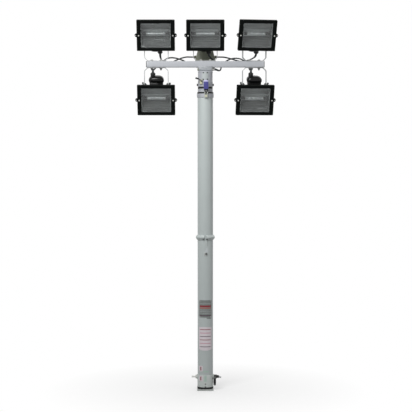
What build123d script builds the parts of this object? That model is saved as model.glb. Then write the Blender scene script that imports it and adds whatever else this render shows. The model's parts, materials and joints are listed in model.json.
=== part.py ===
from build123d import *
from math import pi, radians, tan
import os

# A three-section pneumatic mast, shown retracted, with a crossarm that carries five floodlights.
# Millimetres. Origin at the centre of the base plate's underside, +Z up, the lamps look along -Y.

# ---- Sizes that the rest follows ----
BASE_TUBE_R = 38.0
BASE_TUBE_WALL = 3.0
BASE_TUBE_TOP = 1452.0
ARM_SIDE = 30.0
BEZEL_WIDE = 185.0
BEZEL_TALL = 154.0
LAMP_SPACE = 55.0
PIVOT_RISE = 86.0
LAMP_TILT = 22.0
UPPER_RIGHT_YAW = 9.7
LOWER_RIGHT_YAW = 5.2
SLIDE_GAP = 0.3
FIT_GAP = 0.1
SEAL_GAP = 0.5

# ---- Base ----
GASKET_R = BASE_TUBE_R + 2
GASKET_TALL = 8.0
CASTING_R = BASE_TUBE_R + 1
CASTING_TALL = 62.0
CASTING_FLOOR = 6.0
CASTING_BORE_R = CASTING_R - 8
SPIGOT_TALL = 18.0
PLATE_SIDE = 2 * GASKET_R
PLATE_THICK = 8.0
PLATE_HOLE_R = 3.3
PLATE_HOLE_PITCH = PLATE_SIDE - 14
PORT_Z = 65.0
PORT_BOSS_R = 12.0
PORT_SEAT = CASTING_R + 2.5

# ---- Mast sections ----
MIDDLE_TUBE_R = BASE_TUBE_R - 6
MIDDLE_TUBE_WALL = 2.5
INNER_TUBE_R = MIDDLE_TUBE_R - 6
INNER_TUBE_WALL = 2.5
FOOT_TALL = 24.0
FOOT_START = 12.0
BASE_COLLAR_R = BASE_TUBE_R + 3.5
BASE_COLLAR_TALL = 20.0
COLLAR_LAP = 10.0
LOWER_SEAL_R = BASE_COLLAR_R - 1
LOWER_SEAL_TALL = 7.0
MIDDLE_COLLAR_R = MIDDLE_TUBE_R + 5.25
MIDDLE_COLLAR_TALL = 17.0
UPPER_SEAL_R = MIDDLE_TUBE_R + 4.8
UPPER_SEAL_TALL = 9.0
TOP_COLLAR_R = MIDDLE_TUBE_R + 5
TOP_COLLAR_TALL = 21.0

# ---- Split clamp ring half way up ----
RING_Z = 757.0
RING_BASE_HALF = 12.0
RING_RIM_HALF = 2.5
RING_SHOULDER = 3.0
RING_R = BASE_TUBE_R + 9
RING_SLIT = 8.8
RING_LUG_OUT = 16.0
RING_LUG_WIDE = 7.0
RING_LUG_LAP = 2.0
RING_BOLT_R = 3.0
RING_BOLT_HEAD_R = 5.0

# ---- Plates ----
PLATE_SHEET = 0.6
RATING_HALF_WIDE = 30.0
RATING_Z = (363.0, 449.0)
NAME_HALF_WIDE = 15.0
NAME_UP = (11.25, 50.5)

# ---- Latch on the base collar ----
LATCH_X = 4.0
LATCH_FOOT_HALF = 9.0
LATCH_FOOT_OUT = 5.5
LATCH_PIVOT_OUT = 11.5
LATCH_PIVOT_UP = 4.0
LATCH_EAR_R = 4.5
LATCH_EAR_THICK = 3.0
LATCH_EAR_START = 4.0
LATCH_HUB_HALF = 4.3
LATCH_PIN_R = 2.2
LATCH_PIN_OUT = 1.5
LATCH_PLATE = 5.0
LATCH_NECK_UP = 6.0
GRIP_HALF_WIDE = 13.0
GRIP_UP = (15.0, 60.0)
GRIP_DEEP = 15.5
GRIP_ROUND = 4.0

# ---- Head ----
CAN_R = TOP_COLLAR_R
CAN_TALL = 55.0
CAN_WALL = 4.0
CAN_FLOOR = 8.0
CAN_LID = 5.0
SADDLE_WIDE = 2 * CAN_R - 8
SADDLE_TALL = 20.0
SADDLE_WALL = 4.0
SADDLE_LAP = 5.0
COLLAR_SCREW_R = 4.5
COLLAR_SCREW_OUT = 5.0

# ---- Clamp lever on the top collar ----
LEVER_X = -21.0
LEVER_Z_UP = 8.0
LEVER_BRACKET_OUT = 3.0
LEVER_BRACKET_HALF = 5.5
LEVER_BRACKET_DROP = 16.0
LEVER_STUD_R = 2.0
LEVER_HUB_R = 4.5
LEVER_HUB_OUT = 1.5
LEVER_THICK = 4.0
LEVER_BAR = 4.0
LEVER_ELBOW = (-12.0, 9.0)
LEVER_END = (-27.0, 12.5)
LEVER_TAIL = (5.0, -4.0)
LEVER_GRIP_R = 4.3
LEVER_STAND_OFF = 1.0

# ---- Crossarm ----
LAMP_PITCH = BEZEL_WIDE + LAMP_SPACE
ARM_LONG = 2 * LAMP_PITCH + 95
ARM_WALL = 2.0
CAP_OUT = 2.5
CAP_IN = 8.0
BOLT_R = 4.0
BOLT_HEAD_R = 6.5
BOLT_HEAD_TALL = 5.5
BOLT_TIP = 6.0
BOLT_PITCH = 45.0
BOLT_HOLE_GAP = 0.3

# ---- Cable glands: radius over the hexagon's corners, its length, the nut's radius and length ----
LAMP_GLAND = (12.0, 5.0, 10.0, 11.0)
BOX_GLAND = (8.0, 6.0, 6.5, 7.0)
LAMP_GLAND_LONG = LAMP_GLAND[1] + LAMP_GLAND[3]
BOX_GLAND_LONG = BOX_GLAND[1] + BOX_GLAND[3]

# ---- Lamp yokes ----
LEG_CENTRES = 116.0
YOKE_THICK = 3.0
YOKE_DEEP = 20.0
YOKE_BASE = 87.0

# ---- Lamps, seen from their own pivot: the face looks along -Y, the yoke side is down ----
FACE_OUT = 63.0
FACE_RISE = 58.5
BEZEL_DEEP = 14.0
BEZEL_LIP = 5.0
BEZEL_WALL = 4.0
BEZEL_ROUND = 5.0
WINDOW_WIDE = BEZEL_WIDE - 38
WINDOW_TALL = BEZEL_TALL - 30
LUG_R = 7.0
LUG_HOLE_R = 2.7
LUG_THICK = 6.0
LUG_OUT = 3.0
GLASS_THICK = 4.0
GLASS_LAP = 8.0
FLANGE_THICK = 5.0
HOUSING_DEEP = 61.0
HOUSING_FRONT = (BEZEL_WIDE - 13, BEZEL_TALL - 16)
HOUSING_BACK = (BEZEL_WIDE - 33, 40.0)
HOUSING_WALL = 2.5
HOUSING_ROUND = 6.0
FIN_COUNT = 5
FIN_PITCH = 30.0
FIN_THICK = 2.5
FIN_OUT = 9.0
EAR_THICK = 5.0
EAR_R = 10.0
EAR_ROOT_FRONT = -22.0
PIVOT_BOLT_R = 3.0
PIVOT_HEAD_R = 6.0
PIVOT_GAP = 0.3
WING_OUT = 9.0
WING_ROOT = 2.0
WING_SPAN = 12.0
WING_HALF = 1.0
NUT_R = 5.5
TERMINAL_WIDE = 76.0
TERMINAL_DROP = 42.0
TERMINAL_Y = (-12.0, 38.0)
TERMINAL_CORNER = 12.0
TERMINAL_ROUND = 22.0
TERMINAL_WALL = 2.5
GLAND_OFFSET = 17.0
GLAND_Y = 20.0
REFLECTOR_SHEET = 0.8
REFLECTOR_HALF_WIDE = WINDOW_WIDE / 2 - 3.5
REFLECTOR_FRONT_HALF = WINDOW_TALL / 2 - 5
REFLECTOR_BACK_HALF = 15.0
REFLECTOR_DEEP = 42.0
REFLECTOR_RIM = 3.0
BULB_R = 5.0
BULB_LONG = 114.0
BULB_BACK = 18.0
HOLDER_SIDE = 14.0

# ---- Junction box behind the arm ----
SHELF_UP = 6.0
SHELF_THICK = 4.0
SHELF_WIDE = 90.0
SHELF_NOTCH_X = 20.0
SHELF_LIP = 4.0
BOX_FRONT = ARM_SIDE / 2 + 51
BOX_BASE = (120.0, 56.0)
BOX_TOP = (70.0, 40.0)
BOX_TALL = 100.0
BOX_WALL = 3.0
BOX_ROUND = 6.0
LOW_GLAND_UP = 10.0
HIGH_GLAND_UP = 47.0
SIDE_GLAND_Y = BOX_FRONT + 18
REAR_GLAND_Y = BOX_FRONT + 44
BOX_GLANDS = [
    (-1, SIDE_GLAND_Y, LOW_GLAND_UP),
    (-1, SIDE_GLAND_Y, HIGH_GLAND_UP),
    (1, SIDE_GLAND_Y, LOW_GLAND_UP),
    (1, SIDE_GLAND_Y, HIGH_GLAND_UP),
    (1, REAR_GLAND_Y, LOW_GLAND_UP),
]
UNDER_GLAND = (20.0, BOX_FRONT + 24)

# ---- Vent valve and its lever; air nipple ----
VALVE_R = 11.0
VALVE_OUT = 14.0
VALVE_END_R = 7.5
VALVE_END_OUT = 11.0
VALVE_STEM_R = 4.0
VALVE_STEM_OUT = 17.5
TAIL_R = 4.5
TAIL_LONG = 13.0
TAIL_BORE_R = 3.0
VENT_LEVER_X = PORT_SEAT + 5
VENT_LEVER_WIDE = 12.0
VENT_LEVER_THICK = 3.0
VENT_GRIP = (11.0, 34.0)
VENT_GRIP_WIDE = 13.0
VENT_GRIP_DEEP = 7.0
VENT_GRIP_ROUND = 1.75
VENT_TIP = 41.0
NIPPLE_HEX_R = 10.0
NIPPLE_HEX_LONG = 7.0
NIPPLE_LONG = 20.0
NIPPLE_BARBS = 3
NIPPLE_BARB = 1.0
NIPPLE_R = 4.5
NIPPLE_BORE_R = 3.0

# ---- Leads: the rubber's radius, how much of a run its bends may use, and the straight ends ----
LEAD_R = 3.5
BEND_SHARE = 0.45
LEAD_INTO_BOX = 16.0
MIDDLE_LEAD_OUT = 8.0
MIDDLE_LEAD_IN = 10.0
SUPPLY_LEAD_OUT = 7.0

# ---- Heights worked out from the sizes above ----
GASKET_Z = PLATE_THICK
CASTING_Z = GASKET_Z + GASKET_TALL
BASE_TUBE_Z = CASTING_Z + CASTING_TALL
BASE_COLLAR_Z = BASE_TUBE_TOP - COLLAR_LAP
LOWER_SEAL_Z = BASE_COLLAR_Z + BASE_COLLAR_TALL
MIDDLE_COLLAR_Z = LOWER_SEAL_Z + LOWER_SEAL_TALL
UPPER_SEAL_Z = MIDDLE_COLLAR_Z + MIDDLE_COLLAR_TALL
TOP_COLLAR_Z = UPPER_SEAL_Z + UPPER_SEAL_TALL
CAN_Z = TOP_COLLAR_Z + TOP_COLLAR_TALL
SADDLE_Z = CAN_Z + CAN_TALL
ARM_Z0 = SADDLE_Z + SADDLE_TALL
ARM_Z1 = ARM_Z0 + ARM_SIDE
UPPER_PIVOT_Z = ARM_Z1 + PIVOT_RISE
LOWER_PIVOT_Z = ARM_Z0 - PIVOT_RISE
MIDDLE_TUBE_Z = BASE_TUBE_Z + SPIGOT_TALL + FOOT_START
INNER_TUBE_Z = MIDDLE_TUBE_Z + FOOT_START
SHELF_Z = ARM_Z0 + SHELF_UP
BOX_Z = SHELF_Z + SHELF_THICK

BASE_UP = (Align.CENTER, Align.CENTER, Align.MIN)


def disc(radius, z0, z1):
    """A solid round slice about the mast's axis."""
    return Pos(0, 0, z0) * Cylinder(radius, z1 - z0, align=BASE_UP)


def ring(outer_r, inner_r, z0, z1):
    """A round sleeve about the mast's axis."""
    return disc(outer_r, z0, z1) - disc(inner_r, z0, z1)


def block(x, y, z):
    """A box from its lowest and highest coordinates along each axis."""
    corner = Pos(x[0], y[0], z[0])
    return corner * Box(x[1] - x[0], y[1] - y[0], z[1] - z[0], align=(Align.MIN, Align.MIN, Align.MIN))


def rod(start, direction, radius, length):
    """A round rod from a point along a direction."""
    return Plane(origin=start, z_dir=direction) * Cylinder(radius, length, align=BASE_UP)


def hexagon(start, direction, radius, length):
    """A hexagonal prism from a point along a direction; radius is to a corner."""
    return Plane(origin=start, z_dir=direction) * extrude(RegularPolygon(radius, 6), length)


def side_profile(points, x0, x1):
    """A plate between two x positions, cut to an outline of (y, z) points."""
    outline = Plane.YZ.offset(x0) * Polygon(*points, align=None)
    return extrude(outline, x1 - x0, dir=(1, 0, 0))


def front_profile(points, y0, y1):
    """A plate between two y positions, cut to an outline of (x, z) points."""
    outline = Plane(origin=(0, y0, 0), x_dir=(1, 0, 0), z_dir=(0, -1, 0)) * Polygon(*points, align=None)
    return extrude(outline, y0 - y1, dir=(0, -1, 0))


def gland(start, direction, sizes):
    """A cable gland: a hexagon seated on the wall and a round clamping nut."""
    hex_r, hex_long, nut_r, nut_long = sizes
    nut_start = Vector(*start) + Vector(*direction).normalized() * hex_long
    return hexagon(start, direction, hex_r, hex_long) + rod(tuple(nut_start), direction, nut_r, nut_long)


# ---- Base ----
def base_plate():
    plate = block((-PLATE_SIDE / 2, PLATE_SIDE / 2), (-PLATE_SIDE / 2, PLATE_SIDE / 2), (0, PLATE_THICK))
    for x in (-1, 1):
        for y in (-1, 1):
            centre = (x * PLATE_HOLE_PITCH / 2, y * PLATE_HOLE_PITCH / 2, 0)
            plate -= rod(centre, (0, 0, 1), PLATE_HOLE_R, PLATE_THICK)
    return plate


def base_gasket():
    return ring(GASKET_R, CASTING_BORE_R, GASKET_Z, CASTING_Z)


def base_casting():
    """A hollow cup that closes the base tube, with a spigot inside it and a flat boss for each air port."""
    cup = disc(CASTING_R, CASTING_Z, BASE_TUBE_Z)
    cup += disc(BASE_TUBE_R - BASE_TUBE_WALL - FIT_GAP, BASE_TUBE_Z, BASE_TUBE_Z + SPIGOT_TALL)
    cup += rod((-PORT_SEAT, 0, PORT_Z), (1, 0, 0), PORT_BOSS_R, 2 * PORT_SEAT)
    return cup - disc(CASTING_BORE_R, CASTING_Z + CASTING_FLOOR, BASE_TUBE_Z + SPIGOT_TALL)


def base_tube():
    return ring(BASE_TUBE_R, BASE_TUBE_R - BASE_TUBE_WALL, BASE_TUBE_Z, BASE_TUBE_TOP)


def base_collar():
    """A sleeve lapped over the tube's end, closed down to the moving section above it."""
    sleeve = ring(BASE_COLLAR_R, MIDDLE_TUBE_R + SEAL_GAP, BASE_COLLAR_Z, LOWER_SEAL_Z)
    return sleeve - disc(BASE_TUBE_R + FIT_GAP, BASE_COLLAR_Z, BASE_TUBE_TOP)


def lower_seal():
    return ring(LOWER_SEAL_R, MIDDLE_TUBE_R + SEAL_GAP, LOWER_SEAL_Z, MIDDLE_COLLAR_Z)


def air_nipple():
    """A hexagon on the left boss and a hose tail with three barbs."""
    tail_start = -PORT_SEAT - NIPPLE_HEX_LONG
    nipple = hexagon((-PORT_SEAT, 0, PORT_Z), (-1, 0, 0), NIPPLE_HEX_R, NIPPLE_HEX_LONG)
    step = NIPPLE_LONG / NIPPLE_BARBS
    for n in range(NIPPLE_BARBS):
        barb = Cone(NIPPLE_R, NIPPLE_R - NIPPLE_BARB, step, align=BASE_UP)
        nipple += Plane(origin=(tail_start - n * step, 0, PORT_Z), z_dir=(-1, 0, 0)) * barb
    return nipple - rod((tail_start - NIPPLE_LONG, 0, PORT_Z), (1, 0, 0), NIPPLE_BORE_R, NIPPLE_LONG)


def vent_valve():
    """A ball valve on the right boss, its end ring with a hose tail, and a stem towards -Y for the lever."""
    end = PORT_SEAT + VALVE_OUT
    tail_start = end + VALVE_END_OUT
    valve = rod((PORT_SEAT, 0, PORT_Z), (1, 0, 0), VALVE_R, VALVE_OUT)
    valve += rod((end, 0, PORT_Z), (1, 0, 0), VALVE_END_R, VALVE_END_OUT)
    valve += rod((VENT_LEVER_X, 0, PORT_Z), (0, -1, 0), VALVE_STEM_R, VALVE_STEM_OUT + VENT_LEVER_THICK)
    tail = rod((tail_start, 0, PORT_Z), (1, 0, 0), TAIL_R, TAIL_LONG)
    tail -= rod((tail_start, 0, PORT_Z), (1, 0, 0), TAIL_BORE_R, TAIL_LONG)
    return Compound(children=[*valve.solids(), *tail.solids()])


def vent_lever():
    """A flat lever on the stem that hangs down, with a rubber grip and a bare steel tip."""
    y0 = -VALVE_STEM_OUT - VENT_LEVER_THICK
    half = VENT_LEVER_WIDE / 2
    centre = VENT_LEVER_X
    height = (PORT_Z - VENT_TIP, PORT_Z + half)
    blade = block((centre - half, centre + half), (y0, -VALVE_STEM_OUT), height)
    blade -= rod((centre, 0, PORT_Z), (0, -1, 0), VALVE_STEM_R + FIT_GAP, VALVE_STEM_OUT + VENT_LEVER_THICK)
    grip_half = VENT_GRIP_WIDE / 2
    middle = y0 + VENT_LEVER_THICK / 2
    depth = (middle - VENT_GRIP_DEEP / 2, middle + VENT_GRIP_DEEP / 2)
    height = (PORT_Z - VENT_GRIP[1], PORT_Z - VENT_GRIP[0])
    grip = block((centre - grip_half, centre + grip_half), depth, height)
    grip = fillet(grip.edges().filter_by(Axis.Z), VENT_GRIP_ROUND)
    return blade + grip


# ---- Split clamp ring ----
def clamp_ring():
    """A ring with a ridged outside, open at the front and drawn together by two lugs and a bolt behind."""
    bore = BASE_TUBE_R + FIT_GAP
    shoulder = bore + RING_SHOULDER
    outline = Polygon(
        (bore, -RING_BASE_HALF),
        (shoulder, -RING_BASE_HALF),
        (RING_R, -RING_RIM_HALF),
        (RING_R, RING_RIM_HALF),
        (shoulder, RING_BASE_HALF),
        (bore, RING_BASE_HALF),
        align=None,
    )
    band = Pos(0, 0, RING_Z) * revolve(Plane.XZ * outline, Axis.Z)
    slit = RING_SLIT / 2
    height = (RING_Z - RING_BASE_HALF, RING_Z + RING_BASE_HALF)
    lug_y = (bore + RING_LUG_LAP, RING_R + RING_LUG_OUT)
    lug_x = slit + RING_LUG_WIDE
    band += block((-lug_x, lug_x), lug_y, (RING_Z - 2 * RING_SHOULDER, RING_Z + 2 * RING_SHOULDER))
    band -= block((-slit, slit), (-RING_R, -bore + RING_SHOULDER), height)
    band -= block((-slit, slit), (bore - RING_SHOULDER, RING_R + RING_LUG_OUT), height)
    bolt_y = RING_R + RING_LUG_OUT / 2
    band -= rod((-lug_x, bolt_y, RING_Z), (1, 0, 0), RING_BOLT_R + FIT_GAP, 2 * lug_x)
    bolt = rod((-lug_x, bolt_y, RING_Z), (1, 0, 0), RING_BOLT_R, 2 * lug_x)
    bolt += hexagon((-lug_x, bolt_y, RING_Z), (-1, 0, 0), RING_BOLT_HEAD_R, RING_BOLT_R)
    bolt += hexagon((lug_x, bolt_y, RING_Z), (1, 0, 0), RING_BOLT_HEAD_R, RING_BOLT_R)
    return Compound(children=[*band.solids(), *bolt.solids()])


def curved_plate(radius, half_wide, z0, z1):
    """A thin plate bent round the front of a tube."""
    sheet = ring(radius + PLATE_SHEET, radius, z0, z1)
    return sheet & block((-half_wide, half_wide), (-2 * radius, 0), (z0, z1))


def rating_plate():
    return curved_plate(BASE_TUBE_R, RATING_HALF_WIDE, *RATING_Z)


def name_plate():
    return curved_plate(CAN_R, NAME_HALF_WIDE, CAN_Z + NAME_UP[0], CAN_Z + NAME_UP[1])


# ---- Latch ----
def latch_place():
    """The latch pivot's y and z."""
    return -(BASE_COLLAR_R + LATCH_PIVOT_OUT), LOWER_SEAL_Z + LATCH_PIVOT_UP


def latch_base():
    """A foot on the front of the base collar with two ears and the pivot pin."""
    y, z = latch_place()
    front = -(BASE_COLLAR_R + LATCH_FOOT_OUT)
    x0, x1 = LATCH_X - LATCH_FOOT_HALF, LATCH_X + LATCH_FOOT_HALF
    foot = block((x0, x1), (front, -BASE_COLLAR_R / 2), (BASE_COLLAR_Z, LOWER_SEAL_Z))
    foot -= disc(BASE_COLLAR_R, BASE_COLLAR_Z, LOWER_SEAL_Z)
    for side in (-1, 1):
        inner = LATCH_X + side * (LATCH_HUB_HALF + SLIDE_GAP)
        outer = inner + side * LATCH_EAR_THICK
        low, high = min(inner, outer), max(inner, outer)
        tip = y - LATCH_EAR_R
        outline = [(front, BASE_COLLAR_Z + LATCH_EAR_START), (front, LOWER_SEAL_Z), (y, z + LATCH_EAR_R),
                   (tip, z), (tip, z - LATCH_EAR_R)]
        foot += side_profile(outline, low, high)
    pin_half = LATCH_HUB_HALF + SLIDE_GAP + LATCH_EAR_THICK + LATCH_PIN_OUT
    return foot + rod((LATCH_X - pin_half, y, z), (1, 0, 0), LATCH_PIN_R, 2 * pin_half)


def latch_handle():
    """A hub on the pin, a forked plate that widens upwards, and a rounded grip on top of it."""
    y, z = latch_place()
    hub = rod((LATCH_X - LATCH_HUB_HALF, y, z), (1, 0, 0), LATCH_EAR_R, 2 * LATCH_HUB_HALF)
    neck = LATCH_HUB_HALF
    wide = GRIP_HALF_WIDE - 1
    half_outline = [(neck, 0), (neck, LATCH_NECK_UP), (wide, GRIP_UP[0])]
    right = [(LATCH_X + x, z + up) for x, up in half_outline]
    left = [(LATCH_X - x, z + up) for x, up in reversed(half_outline)]
    outline = right + left
    fork = hub + front_profile(outline, y + LATCH_PLATE / 2, y - LATCH_PLATE / 2)
    fork -= rod((LATCH_X - neck, y, z), (1, 0, 0), LATCH_PIN_R + SLIDE_GAP, 2 * neck)
    grip = block((LATCH_X - GRIP_HALF_WIDE, LATCH_X + GRIP_HALF_WIDE),
                 (y + LATCH_PLATE - GRIP_DEEP, y + LATCH_PLATE + SLIDE_GAP), (z + GRIP_UP[0], z + GRIP_UP[1]))
    grip = fillet(grip.edges().filter_by(Axis.Z), GRIP_ROUND)
    grip = fillet(grip.faces().sort_by(Axis.Z)[-1].edges(), GRIP_ROUND / 2)
    return Compound(children=[*fork.solids(), *grip.solids()])


# ---- Moving sections ----
def sliding_tube(radius, wall, bore_r, z0, z1):
    """A tube with a guide foot that runs in the bore of the section round it."""
    return ring(radius, radius - wall, z0, z1) + ring(bore_r - SLIDE_GAP, radius - wall, z0, z0 + FOOT_TALL)


def middle_tube():
    top = MIDDLE_COLLAR_Z + COLLAR_LAP
    return sliding_tube(MIDDLE_TUBE_R, MIDDLE_TUBE_WALL, BASE_TUBE_R - BASE_TUBE_WALL, MIDDLE_TUBE_Z, top)


def middle_collar():
    sleeve = ring(MIDDLE_COLLAR_R, INNER_TUBE_R + SEAL_GAP, MIDDLE_COLLAR_Z, UPPER_SEAL_Z)
    return sleeve - disc(MIDDLE_TUBE_R + FIT_GAP, MIDDLE_COLLAR_Z, MIDDLE_COLLAR_Z + COLLAR_LAP)


def upper_seal():
    return ring(UPPER_SEAL_R, INNER_TUBE_R + SEAL_GAP, UPPER_SEAL_Z, TOP_COLLAR_Z)


def inner_tube():
    top = SADDLE_Z - CAN_LID
    return sliding_tube(INNER_TUBE_R, INNER_TUBE_WALL, MIDDLE_TUBE_R - MIDDLE_TUBE_WALL, INNER_TUBE_Z, top)


def top_collar():
    return ring(TOP_COLLAR_R, INNER_TUBE_R + FIT_GAP, TOP_COLLAR_Z, CAN_Z)


def head_can():
    """A closed canister that holds the inner tube by its floor and carries the saddle on its lid."""
    can = disc(CAN_R, CAN_Z, SADDLE_Z)
    can -= disc(CAN_R - CAN_WALL, CAN_Z + CAN_FLOOR, SADDLE_Z - CAN_LID)
    return can - disc(INNER_TUBE_R + FIT_GAP, CAN_Z, CAN_Z + CAN_FLOOR)


def lever_place():
    """The front of the clamp lever's bracket and the height of its stud."""
    return -(TOP_COLLAR_R + LEVER_BRACKET_OUT), CAN_Z + LEVER_Z_UP


def collar_hardware():
    """The lever's bracket with its stud, and the two clamping screws at the collar's sides."""
    face, z = lever_place()
    x = (LEVER_X - LEVER_BRACKET_HALF, LEVER_X + LEVER_BRACKET_HALF)
    height = (z - LEVER_BRACKET_DROP, z + LEVER_BRACKET_HALF)
    bracket = block(x, (face, -TOP_COLLAR_R / 2), height) - disc(TOP_COLLAR_R, *height)
    bracket += rod((LEVER_X, face, z), (0, -1, 0), LEVER_STUD_R, LEVER_STAND_OFF + 2 * LEVER_THICK)
    screws = []
    for side in (-1, 1):
        start = (side * (TOP_COLLAR_R - FIT_GAP), 0, TOP_COLLAR_Z + TOP_COLLAR_TALL / 2)
        screw = rod(start, (side, 0, 0), COLLAR_SCREW_R, COLLAR_SCREW_OUT)
        screws.append(screw - disc(TOP_COLLAR_R, TOP_COLLAR_Z, CAN_Z))
    return Compound(children=[s for piece in (bracket, *screws) for s in piece.solids()])


def clamp_lever():
    """A flat bar cranked over the stud, with a round grip at its far end."""
    face, z = lever_place()
    back = face - LEVER_STAND_OFF
    front = back - LEVER_THICK
    lever = rod((LEVER_X, back, z), (0, -1, 0), LEVER_HUB_R, LEVER_THICK + LEVER_HUB_OUT)
    middle = (back + front) / 2
    joints = [LEVER_TAIL, (0, 0), LEVER_ELBOW]
    for a, b in zip(joints, joints[1:]):
        start = Vector(LEVER_X + a[0], middle, z + a[1])
        end = Vector(LEVER_X + b[0], middle, z + b[1])
        along = end - start
        bar = Box(LEVER_THICK, LEVER_BAR, along.length, align=BASE_UP)
        lever += Plane(origin=start, x_dir=(0, -1, 0), z_dir=along) * bar
    start = Vector(LEVER_X + LEVER_ELBOW[0], middle, z + LEVER_ELBOW[1])
    along = Vector(LEVER_X + LEVER_END[0], middle, z + LEVER_END[1]) - start
    lever += rod(tuple(start), tuple(along), LEVER_GRIP_R, along.length)
    return lever - rod((LEVER_X, face, z), (0, -1, 0), LEVER_STUD_R + SLIDE_GAP, 3 * LEVER_THICK)


def saddle():
    """An inverted tray on the canister with a cheek up each side of the arm."""
    half, deep = SADDLE_WIDE / 2, ARM_SIDE / 2 + SADDLE_WALL
    tray = block((-half, half), (-deep, deep), (SADDLE_Z, ARM_Z0 + SADDLE_LAP))
    tray -= block((-half, half), (-ARM_SIDE / 2, ARM_SIDE / 2), (ARM_Z0, ARM_Z0 + SADDLE_LAP))
    inside = half - SADDLE_WALL
    tray -= block((-inside, inside), (-ARM_SIDE / 2, ARM_SIDE / 2), (SADDLE_Z, ARM_Z0 - SADDLE_WALL))
    for x in bolt_places(0):
        tray -= rod((x, 0, SADDLE_Z), (0, 0, 1), BOLT_R + BOLT_HOLE_GAP, SADDLE_TALL)
    return tray


# ---- Crossarm ----
def bolt_places(x):
    """The x positions of a yoke's two bolts."""
    return x - BOLT_PITCH / 2, x + BOLT_PITCH / 2


def crossarm():
    half, inside = ARM_SIDE / 2, ARM_SIDE / 2 - ARM_WALL
    arm = block((-ARM_LONG / 2, ARM_LONG / 2), (-half, half), (ARM_Z0, ARM_Z1))
    arm -= block((-ARM_LONG / 2, ARM_LONG / 2), (-inside, inside), (ARM_Z0 + ARM_WALL, ARM_Z1 - ARM_WALL))
    for yoke in (-LAMP_PITCH, 0, LAMP_PITCH):
        for x in bolt_places(yoke):
            arm -= rod((x, 0, ARM_Z0), (0, 0, 1), BOLT_R + BOLT_HOLE_GAP, ARM_SIDE)
    return arm


def arm_caps():
    half, inside = ARM_SIDE / 2, ARM_SIDE / 2 - ARM_WALL - FIT_GAP
    middle = (ARM_Z0 + ARM_Z1) / 2
    caps = []
    for side in (-1, 1):
        end = side * ARM_LONG / 2
        out = sorted((end, end + side * CAP_OUT))
        plug = sorted((end, end - side * CAP_IN))
        cap = block(out, (-half, half), (ARM_Z0, ARM_Z1))
        cap += block(plug, (-inside, inside), (middle - inside, middle + inside))
        caps.append(cap)
    return Compound(children=[s for cap in caps for s in cap.solids()])


def arm_bolts():
    """Two bolts through each pair of yokes, and two through the middle yoke, the arm and the saddle."""
    bolts = []
    head_z = ARM_Z1 + YOKE_THICK
    for yoke in (-LAMP_PITCH, 0, LAMP_PITCH):
        under = ARM_Z0 - (YOKE_THICK if yoke else SADDLE_WALL)
        for x in bolt_places(yoke):
            tip = under - BOLT_HEAD_TALL - BOLT_TIP
            bolt = rod((x, 0, tip), (0, 0, 1), BOLT_R, head_z - tip)
            bolt += hexagon((x, 0, head_z), (0, 0, 1), BOLT_HEAD_R, BOLT_HEAD_TALL)
            bolt += hexagon((x, 0, under), (0, 0, -1), BOLT_HEAD_R, BOLT_HEAD_TALL)
            bolts.append(bolt)
    return Compound(children=[s for bolt in bolts for s in bolt.solids()])


# ---- Yokes and lamps, each made about its own pivot and then set in place ----
# Each lamp: how far across its pivot is, whether it hangs, and how far its yoke is turned on the arm.
LAMPS = {
    "upper_left": (-LAMP_PITCH, False, 0),
    "upper_middle": (0, False, 0),
    "upper_right": (LAMP_PITCH, False, UPPER_RIGHT_YAW),
    "lower_left": (-LAMP_PITCH, True, 0),
    "lower_right": (LAMP_PITCH, True, LOWER_RIGHT_YAW),
}


def pivot_frame(x, hanging, yaw, tilt=0.0):
    """Where a pivot stands; a hanging lamp is the standing one turned over about Y."""
    height = LOWER_PIVOT_Z if hanging else UPPER_PIVOT_Z
    return Pos(x, 0, height) * Rot(0, 0, yaw) * Rot(tilt, 0, 0) * Rot(0, 180 if hanging else 0, 0)


def yoke():
    """A bent steel strip: a flat base, two chamfered corners and two legs with rounded ends."""
    leg = LEG_CENTRES / 2 + YOKE_THICK / 2
    base = YOKE_BASE / 2
    knee = leg - base
    turn = YOKE_THICK * tan(radians(22.5))
    outside = [(-leg, 0), (-leg, knee - PIVOT_RISE), (-base, -PIVOT_RISE), (base, -PIVOT_RISE),
               (leg, knee - PIVOT_RISE), (leg, 0)]
    inner_leg = leg - YOKE_THICK
    inner_base = base - turn
    floor = YOKE_THICK - PIVOT_RISE
    inner_knee = knee + turn - PIVOT_RISE
    inside = [(-inner_leg, 0), (-inner_leg, inner_knee), (-inner_base, floor), (inner_base, floor),
              (inner_leg, inner_knee), (inner_leg, 0)]
    deep = YOKE_DEEP / 2, -YOKE_DEEP / 2
    strip = front_profile(outside, *deep) - front_profile(inside, *deep)
    for side in (-1, 1):
        start = (side * inner_leg, 0, 0)
        strip += rod(start, (side, 0, 0), YOKE_DEEP / 2, YOKE_THICK)
        strip -= rod(start, (side, 0, 0), PIVOT_BOLT_R + PIVOT_GAP, YOKE_THICK)
    return strip


def set_yoke(x, hanging, yaw):
    """A yoke in its place, with its base drilled where the arm's bolts are."""
    strip = pivot_frame(x, hanging, yaw) * YOKE
    under = ARM_Z0 - YOKE_THICK if hanging else ARM_Z1
    for bolt_x in bolt_places(x):
        strip -= rod((bolt_x, 0, under), (0, 0, 1), BOLT_R + BOLT_HOLE_GAP, YOKE_THICK)
    return strip


def lamp_section(width, height, y):
    """A rounded rectangle across the lamp at a depth y."""
    across = Plane(origin=(0, y, FACE_RISE), x_dir=(1, 0, 0), z_dir=(0, 1, 0))
    return across * RectangleRounded(width, height, HOUSING_ROUND)


def lamp_prism(width, height, y0, y1, corner):
    """A rounded box across the lamp between two depths."""
    across = Plane(origin=(0, y0, FACE_RISE), x_dir=(1, 0, 0), z_dir=(0, 1, 0))
    return extrude(across * RectangleRounded(width, height, corner), y1 - y0)


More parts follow.
